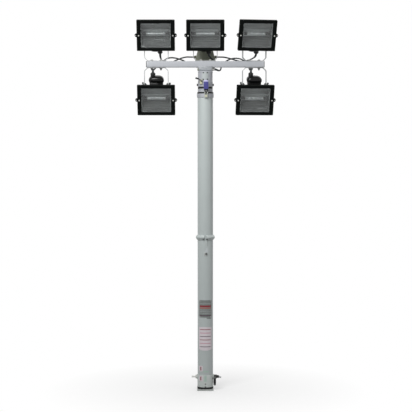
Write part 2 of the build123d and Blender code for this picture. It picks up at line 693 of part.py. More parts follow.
def housing_shell(inset, y0, y1):
    """The trough's tapered body, inset all round by a wall."""
    front = lamp_section(HOUSING_FRONT[0] - 2 * inset, HOUSING_FRONT[1] - 2 * inset, y0)
    back = lamp_section(HOUSING_BACK[0] - 2 * inset, HOUSING_BACK[1] - 2 * inset, y1)
    return loft([front, back])


def under_slope(y):
    """The height of the trough's yoke-side wall at a depth y."""
    front_y = BEZEL_DEEP - FACE_OUT
    front_z = FACE_RISE - HOUSING_FRONT[1] / 2
    back_z = FACE_RISE - HOUSING_BACK[1] / 2
    return front_z + (back_z - front_z) * (y - front_y) / HOUSING_DEEP


def lamp_housing():
    """The cast trough with flange, fins and pivot ears, the terminal box, its gland and the pivot bolts."""
    front_y = BEZEL_DEEP - FACE_OUT
    back_y = front_y + HOUSING_DEEP
    solid = housing_shell(0, front_y, back_y)
    fins = []
    for n in range(FIN_COUNT):
        x = (n - (FIN_COUNT - 1) / 2) * FIN_PITCH
        rise = HOUSING_BACK[1] / 2 - HOUSING_ROUND
        fins.append(block((x - FIN_THICK / 2, x + FIN_THICK / 2), (back_y, back_y + FIN_OUT),
                          (FACE_RISE - rise, FACE_RISE + rise)))
    ear_x = LEG_CENTRES / 2 - YOKE_THICK / 2 - PIVOT_GAP
    ears = []
    for side in (-1, 1):
        low, high = sorted((side * ear_x, side * (ear_x - EAR_THICK)))
        bite = HOUSING_WALL / 2
        outline = [(-EAR_R, 0), (EAR_ROOT_FRONT, under_slope(EAR_ROOT_FRONT) + bite),
                   (EAR_R, under_slope(EAR_R) + bite), (EAR_R, 0)]
        ears.append(side_profile(outline, low, high) + rod((low, 0, 0), (1, 0, 0), EAR_R, EAR_THICK))
    terminal = terminal_box() - solid
    casting = solid
    for piece in (*fins, *ears):
        casting += piece
    casting += lamp_prism(*flange_size(), front_y - FLANGE_THICK, front_y, BEZEL_ROUND)
    casting -= housing_shell(HOUSING_WALL, front_y, back_y - HOUSING_WALL)
    opening = HOUSING_FRONT[0] - 2 * GLASS_LAP, HOUSING_FRONT[1] - 2 * GLASS_LAP
    casting -= lamp_prism(*opening, front_y - FLANGE_THICK, front_y, BEZEL_ROUND)
    for x in (-ear_x, ear_x - EAR_THICK):
        casting -= rod((x, 0, 0), (1, 0, 0), PIVOT_BOLT_R + FIT_GAP, EAR_THICK)
    entry = gland((GLAND_OFFSET, GLAND_Y, -TERMINAL_DROP), (0, 0, -1), LAMP_GLAND)
    pieces = [casting, terminal, entry, pivot_bolt(-1), pivot_bolt(1)]
    return Compound(children=[s for piece in pieces for s in piece.solids()])


def flange_size():
    """The housing's front flange, which drops into the bezel's recess."""
    slack = 2 * (BEZEL_WALL + SLIDE_GAP)
    return BEZEL_WIDE - slack, BEZEL_TALL - slack


def terminal_outline():
    """The terminal box from the side, its outer corners cut back."""
    y0, y1 = TERMINAL_Y
    low = -TERMINAL_DROP
    cut = TERMINAL_CORNER
    roof = FACE_RISE - HOUSING_BACK[1] / 2
    return [(y0, under_slope(y0) + HOUSING_WALL), (y0, low + cut), (y0 + cut, low), (y1 - cut, low),
            (y1, low + cut), (y1, roof), (GLAND_Y, FACE_RISE - HOUSING_BACK[1] / 4)]


def terminal_solid(inset):
    """The terminal box's body, inset all round by a wall, and rounded like a dome from the front."""
    half = TERMINAL_WIDE / 2 - inset
    side = Plane.YZ.offset(-half) * Polygon(*terminal_outline(), align=None)
    if inset:
        side = offset(side, -inset)
    front = Plane(origin=(0, TERMINAL_Y[0], 0), x_dir=(1, 0, 0), z_dir=(0, 1, 0))
    dome = RectangleRounded(2 * half, 2 * (TERMINAL_DROP - inset), TERMINAL_ROUND - inset)
    return extrude(side, 2 * half, dir=(1, 0, 0)) & extrude(front * dome, TERMINAL_Y[1] - TERMINAL_Y[0])


def terminal_box():
    """The hollow wiring box cast under the trough."""
    roof = FACE_RISE - HOUSING_BACK[1] / 2
    half = TERMINAL_WIDE / 2
    box = terminal_solid(0) - terminal_solid(TERMINAL_WALL)
    return box - block((-half, half), TERMINAL_Y, (roof, FACE_RISE))


def pivot_bolt(side):
    """A bolt from inside the ear, out through the yoke's leg, with a wing nut outside."""
    inner = LEG_CENTRES / 2 - YOKE_THICK / 2 - PIVOT_GAP - EAR_THICK
    outer = LEG_CENTRES / 2 + YOKE_THICK / 2 + PIVOT_GAP
    bolt = rod((side * inner, 0, 0), (side, 0, 0), PIVOT_BOLT_R, outer - inner + WING_OUT)
    bolt += hexagon((side * inner, 0, 0), (-side, 0, 0), PIVOT_HEAD_R, PIVOT_BOLT_R)
    bolt += rod((side * outer, 0, 0), (side, 0, 0), NUT_R, WING_OUT - WING_ROOT)
    wing = sorted((side * (outer + WING_ROOT), side * (outer + WING_OUT)))
    return bolt + block(wing, (-WING_SPAN, WING_SPAN), (-WING_HALF, WING_HALF))


def lamp_bezel():
    """The front frame: a lip round the window, a recess behind it and a hinge lug at each side."""
    front = -FACE_OUT
    back = BEZEL_DEEP - FACE_OUT
    frame = lamp_prism(BEZEL_WIDE, BEZEL_TALL, front, back, BEZEL_ROUND)
    for side in (-1, 1):
        centre = (side * (BEZEL_WIDE / 2 + LUG_OUT), front + BEZEL_LIP, FACE_RISE)
        frame += rod(centre, (0, 1, 0), LUG_R, LUG_THICK)
        frame -= rod(centre, (0, 1, 0), LUG_HOLE_R, LUG_THICK)
    recess = BEZEL_WIDE - 2 * BEZEL_WALL, BEZEL_TALL - 2 * BEZEL_WALL
    frame -= lamp_prism(*recess, front + BEZEL_LIP, back, BEZEL_ROUND)
    return frame - lamp_prism(WINDOW_WIDE, WINDOW_TALL, front, front + BEZEL_LIP, BEZEL_ROUND)


def lamp_glass():
    lip_back = BEZEL_LIP - FACE_OUT
    size = WINDOW_WIDE + 2 * GLASS_LAP, WINDOW_TALL + 2 * GLASS_LAP
    return lamp_prism(*size, lip_back, lip_back + GLASS_THICK, BEZEL_ROUND)


def trough(half_wide, front_half, back_half, y0, y1):
    """A straight trough across the lamp, wide in front and narrow behind."""
    outline = [(y0, FACE_RISE - front_half), (y1, FACE_RISE - back_half), (y1, FACE_RISE + back_half),
               (y0, FACE_RISE + front_half)]
    return side_profile(outline, -half_wide, half_wide)


def lamp_reflector():
    """A folded sheet trough with a rim that seats behind the flange, two lamp holders and the tube."""
    front_y = BEZEL_DEEP - FACE_OUT
    back_y = front_y + REFLECTOR_DEEP
    sheet = REFLECTOR_SHEET
    inside = REFLECTOR_HALF_WIDE, REFLECTOR_FRONT_HALF, REFLECTOR_BACK_HALF
    outside = [half + sheet for half in inside]
    shell = trough(*outside, front_y, back_y)
    rim_wide, rim_tall = REFLECTOR_HALF_WIDE + REFLECTOR_RIM, REFLECTOR_FRONT_HALF + REFLECTOR_RIM
    height = (FACE_RISE - rim_tall, FACE_RISE + rim_tall)
    shell += block((-rim_wide, rim_wide), (front_y, front_y + sheet), height)
    shell -= trough(*inside, front_y, back_y - sheet)
    bulb_y = front_y + BULB_BACK
    bulb = rod((-BULB_LONG / 2, bulb_y, FACE_RISE), (1, 0, 0), BULB_R, BULB_LONG)
    pieces = [shell, bulb]
    half = HOLDER_SIDE / 2
    for side in (-1, 1):
        reach = sorted((side * BULB_LONG / 2, side * REFLECTOR_HALF_WIDE))
        pieces.append(block(reach, (bulb_y - half, bulb_y + half), (FACE_RISE - half, FACE_RISE + half)))
    return Compound(children=[s for piece in pieces for s in piece.solids()])


# ---- Junction box ----
def box_solid(inset, z0, z1):
    """The junction box's drafted body between two heights, inset all round by a wall."""
    middle_y = BOX_FRONT + BOX_BASE[1] / 2
    sections = []
    for z in (z0, z1):
        share = (z - BOX_Z) / BOX_TALL
        wide, deep = (low + (high - low) * share - 2 * inset for low, high in zip(BOX_BASE, BOX_TOP))
        sections.append(Pos(0, middle_y, z) * RectangleRounded(wide, deep, BOX_ROUND - inset))
    return loft(sections)


def junction_box():
    """A drafted cast cover, hollow and open below, on a base plate that closes it."""
    plate_top = BOX_Z + BOX_WALL
    plate = box_solid(0, BOX_Z, plate_top)
    cover = box_solid(0, plate_top, BOX_Z + BOX_TALL)
    cover -= box_solid(BOX_WALL, plate_top, BOX_Z + BOX_TALL - BOX_WALL)
    return Compound(children=[*plate.solids(), *cover.solids()])


def box_shelf():
    """An angle with its upright against the arm and a notch that lets the middle lamp's lead down."""
    half = SHELF_WIDE / 2
    back = BOX_FRONT + BOX_BASE[1]
    arm_back = ARM_SIDE / 2
    shelf = block((-half, half), (arm_back, back), (SHELF_Z, BOX_Z))
    shelf += block((-half, half), (arm_back, arm_back + SHELF_THICK), (SHELF_Z, ARM_Z1 - ARM_WALL))
    shelf -= block((SHELF_NOTCH_X, half), (arm_back + SHELF_THICK, BOX_FRONT - SHELF_LIP), (SHELF_Z, BOX_Z))
    return shelf - rod((*UNDER_GLAND, SHELF_Z), (0, 0, 1), BOX_GLAND[0] + FIT_GAP, SHELF_THICK)


def gland_seat(up):
    """How far out a gland sits on the box's side: where the wall is at the top of its hexagon."""
    share = (up + BOX_GLAND[0]) / BOX_TALL
    return (BOX_BASE[0] + (BOX_TOP[0] - BOX_BASE[0]) * share) / 2


def cable_glands():
    """The glands at the box's sides and under it, one at the saddle's right, and a blank at its left."""
    box = box_solid(0, BOX_Z, BOX_Z + BOX_TALL)
    pieces = []
    for side, y, up in BOX_GLANDS:
        pieces.append(gland((side * gland_seat(up), y, BOX_Z + up), (side, 0, 0), BOX_GLAND) - box)
    pieces.append(gland((*UNDER_GLAND, BOX_Z), (0, 0, -1), BOX_GLAND))
    saddle_middle = SADDLE_Z + SADDLE_TALL / 2
    pieces.append(gland((SADDLE_WIDE / 2, 0, saddle_middle), (1, 0, 0), BOX_GLAND))
    pieces.append(hexagon((-SADDLE_WIDE / 2, 0, saddle_middle), (-1, 0, 0), BOX_GLAND[0], BOX_GLAND[1]))
    return Compound(children=[s for piece in pieces for s in piece.solids()])


# ---- Leads ----
def gland_tip(x, hanging, yaw):
    """Where a lamp's lead leaves its gland, and which way."""
    place = pivot_frame(x, hanging, yaw, LAMP_TILT)
    reach = TERMINAL_DROP + LAMP_GLAND_LONG
    tip = place * Pos(GLAND_OFFSET, GLAND_Y, -reach)
    further = place * Pos(GLAND_OFFSET, GLAND_Y, -reach - 1)
    return tip.position, further.position - tip.position


def box_tip(side, y, up):
    """Where a lead enters a gland at the box's side."""
    return side * (gland_seat(up) + BOX_GLAND_LONG), y, BOX_Z + up


# Each lamp lead: its lamp, its straight run out of the gland, the side and height of its gland at the box,
# and the points between: the share of the way from gland to gland, how far behind the arm, how far above
# the arm's underside.
LEADS = {
    "lead_upper_left": ("upper_left", 13.0, -1, LOW_GLAND_UP,
                        [(0.026, 29, 45), (0.058, 25, 36), (0.113, 22, 34), (0.168, 21, 40.5),
                         (0.239, 21, 47.5), (0.337, 21.5, 50.5), (0.472, 25, 49.5), (0.615, 34, 44),
                         (0.751, 45, 37), (0.848, 58, 28)]),
    "lead_upper_right": ("upper_right", 9.0, 1, HIGH_GLAND_UP,
                         [(0.040, 31, 52.5), (0.101, 33, 45.5), (0.187, 33, 39), (0.283, 31.5, 34),
                          (0.384, 28, 32), (0.480, 24, 34.5), (0.587, 23, 41), (0.708, 28, 48.5),
                          (0.829, 45, 55)]),
    "lead_lower_left": ("lower_left", 6.0, -1, HIGH_GLAND_UP,
                        [(0.008, -18.8, -13), (0.028, -13, -9), (0.040, -3, -7.5), (0.061, 8, -1.5),
                         (0.111, 13, 8), (0.223, 14, 13), (0.349, 18, 16), (0.465, 28, 28),
                         (0.582, 40, 40), (0.718, 54, 52), (0.834, 65, 57.5)]),
    "lead_lower_right": ("lower_right", 7.0, 1, LOW_GLAND_UP,
                         [(-0.010, -21, -11.5), (-0.038, -14.2, -7), (-0.052, -3, -7.5), (-0.032, 8, -1.5),
                          (0.032, 13.5, 7.5), (0.117, 15, 18.5), (0.188, 16, 30.5), (0.265, 19, 40.5),
                          (0.369, 23, 46.5), (0.492, 31, 48.5), (0.608, 40, 46.5), (0.718, 48, 40.5),
                          (0.816, 56, 31.5)]),
}
# The middle lamp's lead: across from the mast's axis, behind the arm, above the arm's underside.
MIDDLE_LEAD = [(24, 31, 54), (34, 31, 45), (44, 28, 35), (50, 25, 21), (46, 25, 5), (36, 31, -9),
               (26, 44, -18), (21, 58, -21), (20, 68, -20)]
# The supply lead: first from the gland on the saddle, then from the gland at the box.
SUPPLY_FROM_SADDLE = [(14, 1, -4), (24, 8, -6), (30, 20, 1), (32, 34, 13), (39, 50, 20)]
SUPPLY_FROM_BOX = [(29.5, -45, -9), (39.5, -28, -9), (39.5, -11, -5)]


def lead(name, points):
    """A round lead along straight runs joined by arcs as large as the runs allow."""
    points = [Vector(*p) for p in points]
    radii = []
    for a, b, c in zip(points, points[1:], points[2:]):
        half_turn = radians((b - a).get_angle(c - b)) / 2
        radii.append(BEND_SHARE * min((b - a).length, (c - b).length) / tan(half_turn))
    path = FilletPolyline(*points, radius=radii)
    start = Plane(origin=points[0], z_dir=points[1] - points[0])
    tube = sweep(start * Circle(LEAD_R), path=path)
    solid_share = tube.volume / (pi * LEAD_R ** 2 * path.length)
    print(name, "points", [tuple(round(v, 1) for v in p) for p in points])
    print("  radii", [round(r) for r in radii])
    print("  length", round(path.length), "volume share", round(solid_share, 4))
    return tube


def lamp_lead(name):
    lamp, straight, side, up, between = LEADS[name]
    tip, way = gland_tip(*LAMPS[lamp])
    end = Vector(*box_tip(side, SIDE_GLAND_Y, up))
    points = [tip, tip + way * straight]
    for share, behind, rise in between:
        points.append(Vector(tip.X + (end.X - tip.X) * share, ARM_SIDE / 2 + behind, ARM_Z0 + rise))
    return lead(name, [*points, end + Vector(side * LEAD_INTO_BOX, 0, 0), end])


def middle_lead():
    tip, way = gland_tip(*LAMPS["upper_middle"])
    end = Vector(*UNDER_GLAND, BOX_Z - BOX_GLAND_LONG)
    between = [Vector(x, ARM_SIDE / 2 + behind, ARM_Z0 + rise) for x, behind, rise in MIDDLE_LEAD]
    points = [tip, tip + way * MIDDLE_LEAD_OUT, *between, end - Vector(0, 0, MIDDLE_LEAD_IN), end]
    return lead("lead_middle", points)


def supply_lead():
    start = Vector(SADDLE_WIDE / 2 + BOX_GLAND_LONG, 0, SADDLE_Z + SADDLE_TALL / 2)
    end = Vector(*box_tip(1, REAR_GLAND_Y, LOW_GLAND_UP))
    points = [start, start + Vector(SUPPLY_LEAD_OUT, 0, 0)]
    points += [start + Vector(*p) for p in SUPPLY_FROM_SADDLE]
    points += [end + Vector(*p) for p in SUPPLY_FROM_BOX]
    return lead("supply_lead", [*points, end + Vector(LEAD_INTO_BOX, 0, 0), end])


# ---- Write one file for each sub-part ----
PARTS = {
    "base_plate": base_plate(),
    "base_gasket": base_gasket(),
    "base_casting": base_casting(),
    "base_tube": base_tube(),
    "base_collar": base_collar(),
    "lower_seal": lower_seal(),
    "air_nipple": air_nipple(),
    "vent_valve": vent_valve(),
    "vent_lever": vent_lever(),
    "clamp_ring": clamp_ring(),
    "rating_plate": rating_plate(),
    "latch_base": latch_base(),
    "latch_handle": latch_handle(),
    "middle_tube": middle_tube(),
    "middle_collar": middle_collar(),
    "upper_seal": upper_seal(),
    "inner_tube": inner_tube(),
    "top_collar": top_collar(),
    "head_can": head_can(),
    "name_plate": name_plate(),
    "collar_hardware": collar_hardware(),
    "clamp_lever": clamp_lever(),
    "saddle": saddle(),
    "crossarm": crossarm(),
    "arm_caps": arm_caps(),
    "arm_bolts": arm_bolts(),
    "junction_box": junction_box(),
    "box_shelf": box_shelf(),
    "cable_glands": cable_glands(),
    "lead_middle": middle_lead(),
    "supply_lead": supply_lead(),
}
for name in LEADS:
    PARTS[name] = lamp_lead(name)

LAMP_PIECES = {
    "housing": lamp_housing(),
    "bezel": lamp_bezel(),
    "glass": lamp_glass(),
    "reflector": lamp_reflector(),
}
YOKE = yoke()
for lamp, place in LAMPS.items():
    PARTS[f"yoke_{lamp}"] = set_yoke(*place)
    for piece, shape in LAMP_PIECES.items():
        PARTS[f"{piece}_{lamp}"] = pivot_frame(*place, LAMP_TILT) * shape

os.makedirs("parts", exist_ok=True)
for name, shape in PARTS.items():
    export_step(shape, f"parts/{name}.step")
    print(name, len(shape.solids()))
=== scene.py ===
# %% [markdown]
# # A pneumatic floodlight mast with five halogen lamps
# The real thing is a three-section aluminium mast, pushed up by compressed air. It stands retracted here.
# A square arm on its head carries three lamps on top and two below, each on a bent steel yoke.
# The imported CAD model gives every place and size. This lesson adds the shapes and finishes that a CAD
# part leaves out: cast edges, rubber leads, glass, flutes in the reflectors, and worn paint.
# Lengths are written in millimetres, as on a workshop drawing, and each finished mesh is scaled to metres.

# %% Load the fixed frame
import json
import bpy
import bmesh
from math import asin, atan2, cos, pi, radians, sin, tau
from mathutils import Matrix, Vector


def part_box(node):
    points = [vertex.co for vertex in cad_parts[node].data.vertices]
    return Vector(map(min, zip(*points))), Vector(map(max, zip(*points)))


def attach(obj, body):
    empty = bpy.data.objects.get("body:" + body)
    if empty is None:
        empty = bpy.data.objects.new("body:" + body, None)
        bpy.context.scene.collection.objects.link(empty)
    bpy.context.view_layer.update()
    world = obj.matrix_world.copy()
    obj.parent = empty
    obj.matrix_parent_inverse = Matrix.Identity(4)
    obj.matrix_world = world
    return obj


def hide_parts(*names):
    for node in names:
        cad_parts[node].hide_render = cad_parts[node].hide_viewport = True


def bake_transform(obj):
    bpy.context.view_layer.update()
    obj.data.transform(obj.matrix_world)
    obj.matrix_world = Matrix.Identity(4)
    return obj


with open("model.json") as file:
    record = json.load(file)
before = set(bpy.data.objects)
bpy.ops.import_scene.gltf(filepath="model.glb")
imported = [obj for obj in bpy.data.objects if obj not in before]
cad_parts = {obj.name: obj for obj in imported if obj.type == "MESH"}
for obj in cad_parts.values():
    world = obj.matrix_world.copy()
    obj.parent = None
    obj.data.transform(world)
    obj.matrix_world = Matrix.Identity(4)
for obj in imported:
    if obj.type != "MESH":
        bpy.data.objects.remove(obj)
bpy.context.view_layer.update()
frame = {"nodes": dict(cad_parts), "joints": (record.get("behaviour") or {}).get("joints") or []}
MM = 0.001
pivots = {joint["child"]: Vector(joint["pos_m"]) / MM for joint in frame["joints"] if "pos_m" in joint}
scene = bpy.context.scene


def reach(node):
    """The lowest and highest corner of a CAD node, in millimetres."""
    low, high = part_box(node)
    return low / MM, high / MM


# %% [markdown]
# ## The camera
# The mast is tall and thin. Close to, a camera would have to tip down so far that the tube would seem to
# taper. From six metres off, through a long lens, it needs to tip down only a few degrees, and
# the upright lines stay nearly parallel.

# %% Set up the camera
CAMERA_PLACE = (0.0033, -6.049, 1.1653)
CAMERA_LENS = 107.36
CAMERA_DOWN = 2.41

camera_data = bpy.data.cameras.new("front_camera")
camera_data.lens = CAMERA_LENS
camera = bpy.data.objects.new("front_camera", camera_data)
camera.location = CAMERA_PLACE
camera.rotation_euler = (radians(90 - CAMERA_DOWN), 0, 0)
scene.collection.objects.link(camera)
scene.camera = camera
print("camera at", tuple(camera.location))

# %% [markdown]
# ## The routes of the rubber leads
# Each lamp has a 7 mm rubber lead that bends away from its gland, runs behind the arm and goes into the
# junction box, and a sixth comes from the saddle. Joining the points by straight runs would look like
# bent wire. A NURBS spline of order 3 draws one smooth line that only leans towards its points, as a lead
# that is held at both ends does. These are the same points that the CAD tubes follow.

# %% The six routes, in metres
LEAD_R = 0.0035
ROUTES = {
    "lead_upper_left": [
        (-0.2230, 0.0403, 1.6607), (-0.2230, 0.0451, 1.6487), (-0.2190, 0.0440, 1.6360),
        (-0.2140, 0.0400, 1.6270), (-0.2055, 0.0370, 1.6250), (-0.1970, 0.0360, 1.6315),
        (-0.1861, 0.0360, 1.6385), (-0.1709, 0.0365, 1.6415), (-0.1501, 0.0400, 1.6405),
        (-0.1280, 0.0490, 1.6350), (-0.1070, 0.0600, 1.6280), (-0.0920, 0.0730, 1.6190),
        (-0.0845, 0.0840, 1.6110), (-0.0685, 0.0840, 1.6110),
    ],
    "lead_middle": [
        (0.0170, 0.0403, 1.6607), (0.0170, 0.0433, 1.6533), (0.0240, 0.0460, 1.6450),
        (0.0340, 0.0460, 1.6360), (0.0440, 0.0430, 1.6260), (0.0500, 0.0400, 1.6120),
        (0.0460, 0.0400, 1.5960), (0.0360, 0.0460, 1.5820), (0.0260, 0.0590, 1.5730),
        (0.0210, 0.0730, 1.5700), (0.0200, 0.0830, 1.5710), (0.0200, 0.0900, 1.5780),
        (0.0200, 0.0900, 1.5880),
    ],
    "lead_upper_right": [
        (0.2500, 0.0426, 1.6607), (0.2494, 0.0459, 1.6524), (0.2423, 0.0460, 1.6435),
        (0.2307, 0.0480, 1.6365), (0.2143, 0.0480, 1.6300), (0.1960, 0.0465, 1.6250),
        (0.1767, 0.0430, 1.6230), (0.1584, 0.0390, 1.6255), (0.1380, 0.0380, 1.6320),
        (0.1149, 0.0430, 1.6395), (0.0919, 0.0600, 1.6460), (0.0752, 0.0840, 1.6480),
        (0.0592, 0.0840, 1.6480),
    ],
    "lead_lower_left": [
        (-0.2570, -0.0032, 1.5663), (-0.2570, -0.0054, 1.5718), (-0.2554, -0.0038, 1.5780),
        (-0.2515, 0.0020, 1.5820), (-0.2491, 0.0120, 1.5835), (-0.2449, 0.0230, 1.5895),
        (-0.2350, 0.0280, 1.5990), (-0.2129, 0.0290, 1.6040), (-0.1880, 0.0330, 1.6070),
        (-0.1650, 0.0430, 1.6190), (-0.1419, 0.0550, 1.6310), (-0.1150, 0.0690, 1.6430),
        (-0.0921, 0.0800, 1.6485), (-0.0752, 0.0840, 1.6480), (-0.0592, 0.0840, 1.6480),
    ],
    "lead_lower_right": [
        (0.2234, -0.0047, 1.5663), (0.2236, -0.0073, 1.5728), (0.2249, -0.0060, 1.5795),
        (0.2292, 0.0008, 1.5840), (0.2314, 0.0120, 1.5835), (0.2283, 0.0230, 1.5895),
        (0.2184, 0.0285, 1.5985), (0.2052, 0.0300, 1.6095), (0.1942, 0.0310, 1.6215),
        (0.1823, 0.0340, 1.6315), (0.1662, 0.0380, 1.6375), (0.1472, 0.0460, 1.6395),
        (0.1292, 0.0550, 1.6375), (0.1122, 0.0630, 1.6315), (0.0970, 0.0710, 1.6225),
        (0.0845, 0.0840, 1.6110), (0.0685, 0.0840, 1.6110),
    ],
    "supply_lead": [
        (0.0460, 0.0000, 1.5810), (0.0530, 0.0000, 1.5810), (0.0600, 0.0010, 1.5770),
        (0.0700, 0.0080, 1.5750), (0.0760, 0.0200, 1.5820), (0.0780, 0.0340, 1.5940),
        (0.0850, 0.0500, 1.6010), (0.0980, 0.0650, 1.6020), (0.1080, 0.0820, 1.6020),
        (0.1080, 0.0990, 1.6060), (0.0845, 0.1100, 1.6110), (0.0685, 0.1100, 1.6110),
    ],
}
print("routes", {name: len(points) for name, points in ROUTES.items()})


# %% Draw a route as a smooth spline
def lead_curve(name, points):
    """A curve of one open NURBS spline with the route's points as its control points."""
    curve = bpy.data.curves.new(name, "CURVE")
    curve.dimensions = "3D"
    curve.resolution_u = 10
    spline = curve.splines.new("NURBS")
    spline.points.add(len(points) - 1)
    for point, place in zip(spline.points, points):
        point.co = (*place, 1)
    spline.order_u = 3
    spline.use_endpoint_u = True
    return curve


def baked(curve):
    """The mesh that Blender makes of a curve."""
    holder = bpy.data.objects.new("holder", curve)
    mesh = bpy.data.meshes.new_from_object(holder)
    bpy.data.objects.remove(holder)
    return mesh


lead_lines = {}
for name, points in ROUTES.items():
    line = baked(lead_curve(name + "_line", points))
    lead_lines[name] = [vertex.co.copy() for vertex in line.vertices]
    run = sum((b - a).length for a, b in zip(lead_lines[name], lead_lines[name][1:]))
    print(name, "line of", len(lead_lines[name]), "points,", round(run * 1000), "mm")

# %% [markdown]
# ## Light and background
# Paint shows its own colour only under plain light. The world gives even daylight from all round, one
# large soft lamp stands high in front on the left, and weaker ones fill the right and the back. The
# background is white because of the world's colour as the camera, mirrors and glass see it, not through
# more light.

# %% White surroundings
WORLD_LEVEL = 0.42

world = bpy.data.worlds.new("studio")
scene.world = world
world.use_nodes = True
nodes, links = world.node_tree.nodes, world.node_tree.links
background = nodes["Background"]
background.inputs["Color"].default_value = (1, 1, 1, 1)
rays = nodes.new("ShaderNodeLightPath")


def seen_directly(nodes, links, rays):
    """1 for what the camera sees, straight or through a mirror or glass, and 0 for the light itself."""
    mirrored = nodes.new("ShaderNodeMath")
    mirrored.operation = "MAXIMUM"
    links.new(rays.outputs["Is Camera Ray"], mirrored.inputs[0])
    links.new(rays.outputs["Is Glossy Ray"], mirrored.inputs[1])
    through = nodes.new("ShaderNodeMath")
    through.operation = "MAXIMUM"
    links.new(mirrored.outputs[0], through.inputs[0])
    links.new(rays.outputs["Is Transmission Ray"], through.inputs[1])
    return through.outputs[0]


strength = nodes.new("ShaderNodeMapRange")
strength.inputs["To Min"].default_value = WORLD_LEVEL
strength.inputs["To Max"].default_value = 1.0
links.new(seen_directly(nodes, links, rays), strength.inputs["Value"])
links.new(strength.outputs["Result"], background.inputs["Strength"])
scene.view_settings.view_transform = "Standard"
print("world level", WORLD_LEVEL)


# %% Three soft lamps
def soft_lamp(name, place, aim, size, power):
    """A square area lamp that looks at a point."""
    data = bpy.data.lights.new(name, "AREA")
    data.size = size
    data.energy = power
    lamp = bpy.data.objects.new(name, data)
    lamp.location = place
    lamp.rotation_euler = (Vector(aim) - Vector(place)).to_track_quat("-Z", "Y").to_euler()
    scene.collection.objects.link(lamp)


soft_lamp("key_lamp", (-0.75, -1.6, 2.5), (0, 0, 1.5), 1.0, 40)
soft_lamp("fill_lamp", (2.2, -1.4, 1.8), (0, 0, 1.2), 1.4, 4)
soft_lamp("back_lamp", (1.0, 2.4, 2.3), (0, 0, 1.2), 1.6, 13)
print("lamps", len(bpy.data.lights))

# %% [markdown]
# ## The floor
# A white floor that is only lit would look grey next to the white surroundings. Its material therefore
# glows white where it is seen from afar, and fades to a mostly lit surface close round the base, where
# the mast's shadow falls. The fade is a spherical gradient in object coordinates. The light that the
# floor throws back up at the mast is that of a grey floor, so that undersides stay dark.

# %% A pale floor
FLOOR_R = 14.0
SHADOW_R = 0.8
GLOW_NEAR = 0.4
LIT_GREY, SEEN_WHITE = 0.3, 0.93

floor_mesh = bmesh.new()
bmesh.ops.create_circle(floor_mesh, cap_ends=True, segments=64, radius=FLOOR_R)
floor_data = bpy.data.meshes.new("pale_floor")
floor_mesh.to_mesh(floor_data)
floor_mesh.free()
floor = bpy.data.objects.new("pale_floor", floor_data)
scene.collection.objects.link(floor)

floor_paint = bpy.data.materials.new("pale_floor")
floor_paint.use_nodes = True
nodes, links = floor_paint.node_tree.nodes, floor_paint.node_tree.links
lit = nodes["Principled BSDF"]
lit.inputs["Roughness"].default_value = 0.9
lit.inputs["Specular IOR Level"].default_value = 0.1
glow = nodes.new("ShaderNodeEmission")
place = nodes.new("ShaderNodeTexCoord")
spread = nodes.new("ShaderNodeMapping")
spread.inputs["Scale"].default_value = (1 / SHADOW_R, 1 / SHADOW_R, 1)
fade = nodes.new("ShaderNodeTexGradient")
fade.gradient_type = "SPHERICAL"
links.new(place.outputs["Object"], spread.inputs["Vector"])
links.new(spread.outputs["Vector"], fade.inputs["Vector"])
far = nodes.new("ShaderNodeMapRange")
far.inputs["To Min"].default_value = 1.0
far.inputs["To Max"].default_value = GLOW_NEAR
links.new(fade.outputs["Fac"], far.inputs["Value"])
rays = nodes.new("ShaderNodeLightPath")
seen = seen_directly(nodes, links, rays)
share = nodes.new("ShaderNodeMath")
share.operation = "MULTIPLY"
links.new(far.outputs[0], share.inputs[0])
links.new(seen, share.inputs[1])
bounce = nodes.new("ShaderNodeMix")
bounce.data_type = "RGBA"
bounce.inputs[6].default_value = (LIT_GREY, LIT_GREY, LIT_GREY, 1)
bounce.inputs[7].default_value = (SEEN_WHITE, SEEN_WHITE, SEEN_WHITE, 1)
links.new(seen, bounce.inputs[0])
links.new(bounce.outputs[2], lit.inputs["Base Color"])
blend = nodes.new("ShaderNodeMixShader")
links.new(share.outputs[0], blend.inputs["Fac"])
links.new(lit.outputs["BSDF"], blend.inputs[1])
links.new(glow.outputs["Emission"], blend.inputs[2])
links.new(blend.outputs["Shader"], nodes["Material Output"].inputs["Surface"])
floor_data.materials.append(floor_paint)
print("floor radius", FLOOR_R)

# %% [markdown]
# ## A small kit of shaping steps
# Almost everything on this mast is turned on a lathe, cast with rounded edges, cut from sheet or bent
# from strip. One short function for each of those ways keeps the later cells about the pieces. Each
# function starts from a simple shape and lets Blender's bmesh operators do the rest.

# %% Turned, cast and cut shapes
def turned(profile, segments=72, sweep=tau):
    """A lathe-turned shape about Z from (radius, height) points."""
    bm = bmesh.new()
    corners = [bm.verts.new((radius, 0, height)) for radius, height in profile]
    edges = [bm.edges.new(pair) for pair in zip(corners, corners[1:])]
    bmesh.ops.spin(bm, geom=corners + edges, cent=(0, 0, 0), axis=(0, 0, 1), angle=sweep, steps=segments,
                   use_merge=sweep == tau)
    bmesh.ops.remove_doubles(bm, verts=bm.verts, dist=0.001)
    bmesh.ops.recalc_face_normals(bm, faces=bm.faces)
    return bm


def rounded_sheet(width, height, corner, steps=5):
    """A flat sheet in XY with rounded corners."""
    bm = bmesh.new()
    bmesh.ops.create_grid(bm, x_segments=1, y_segments=1, size=0.5)
    bmesh.ops.scale(bm, vec=(width, height, 1), verts=bm.verts)
    bmesh.ops.bevel(bm, geom=bm.verts[:], offset=corner, offset_type="OFFSET", segments=steps, profile=0.5,
                    affect="VERTICES", material=-1)
    return bm


def thickened(bm, depth):
    """A flat sheet in XY raised along Z into a solid."""
    raised = bmesh.ops.extrude_face_region(bm, geom=bm.faces[:])
    top = [part for part in raised["geom"] if isinstance(part, bmesh.types.BMVert)]
    bmesh.ops.translate(bm, vec=(0, 0, depth), verts=top)
    bmesh.ops.recalc_face_normals(bm, faces=bm.faces)
    return bm


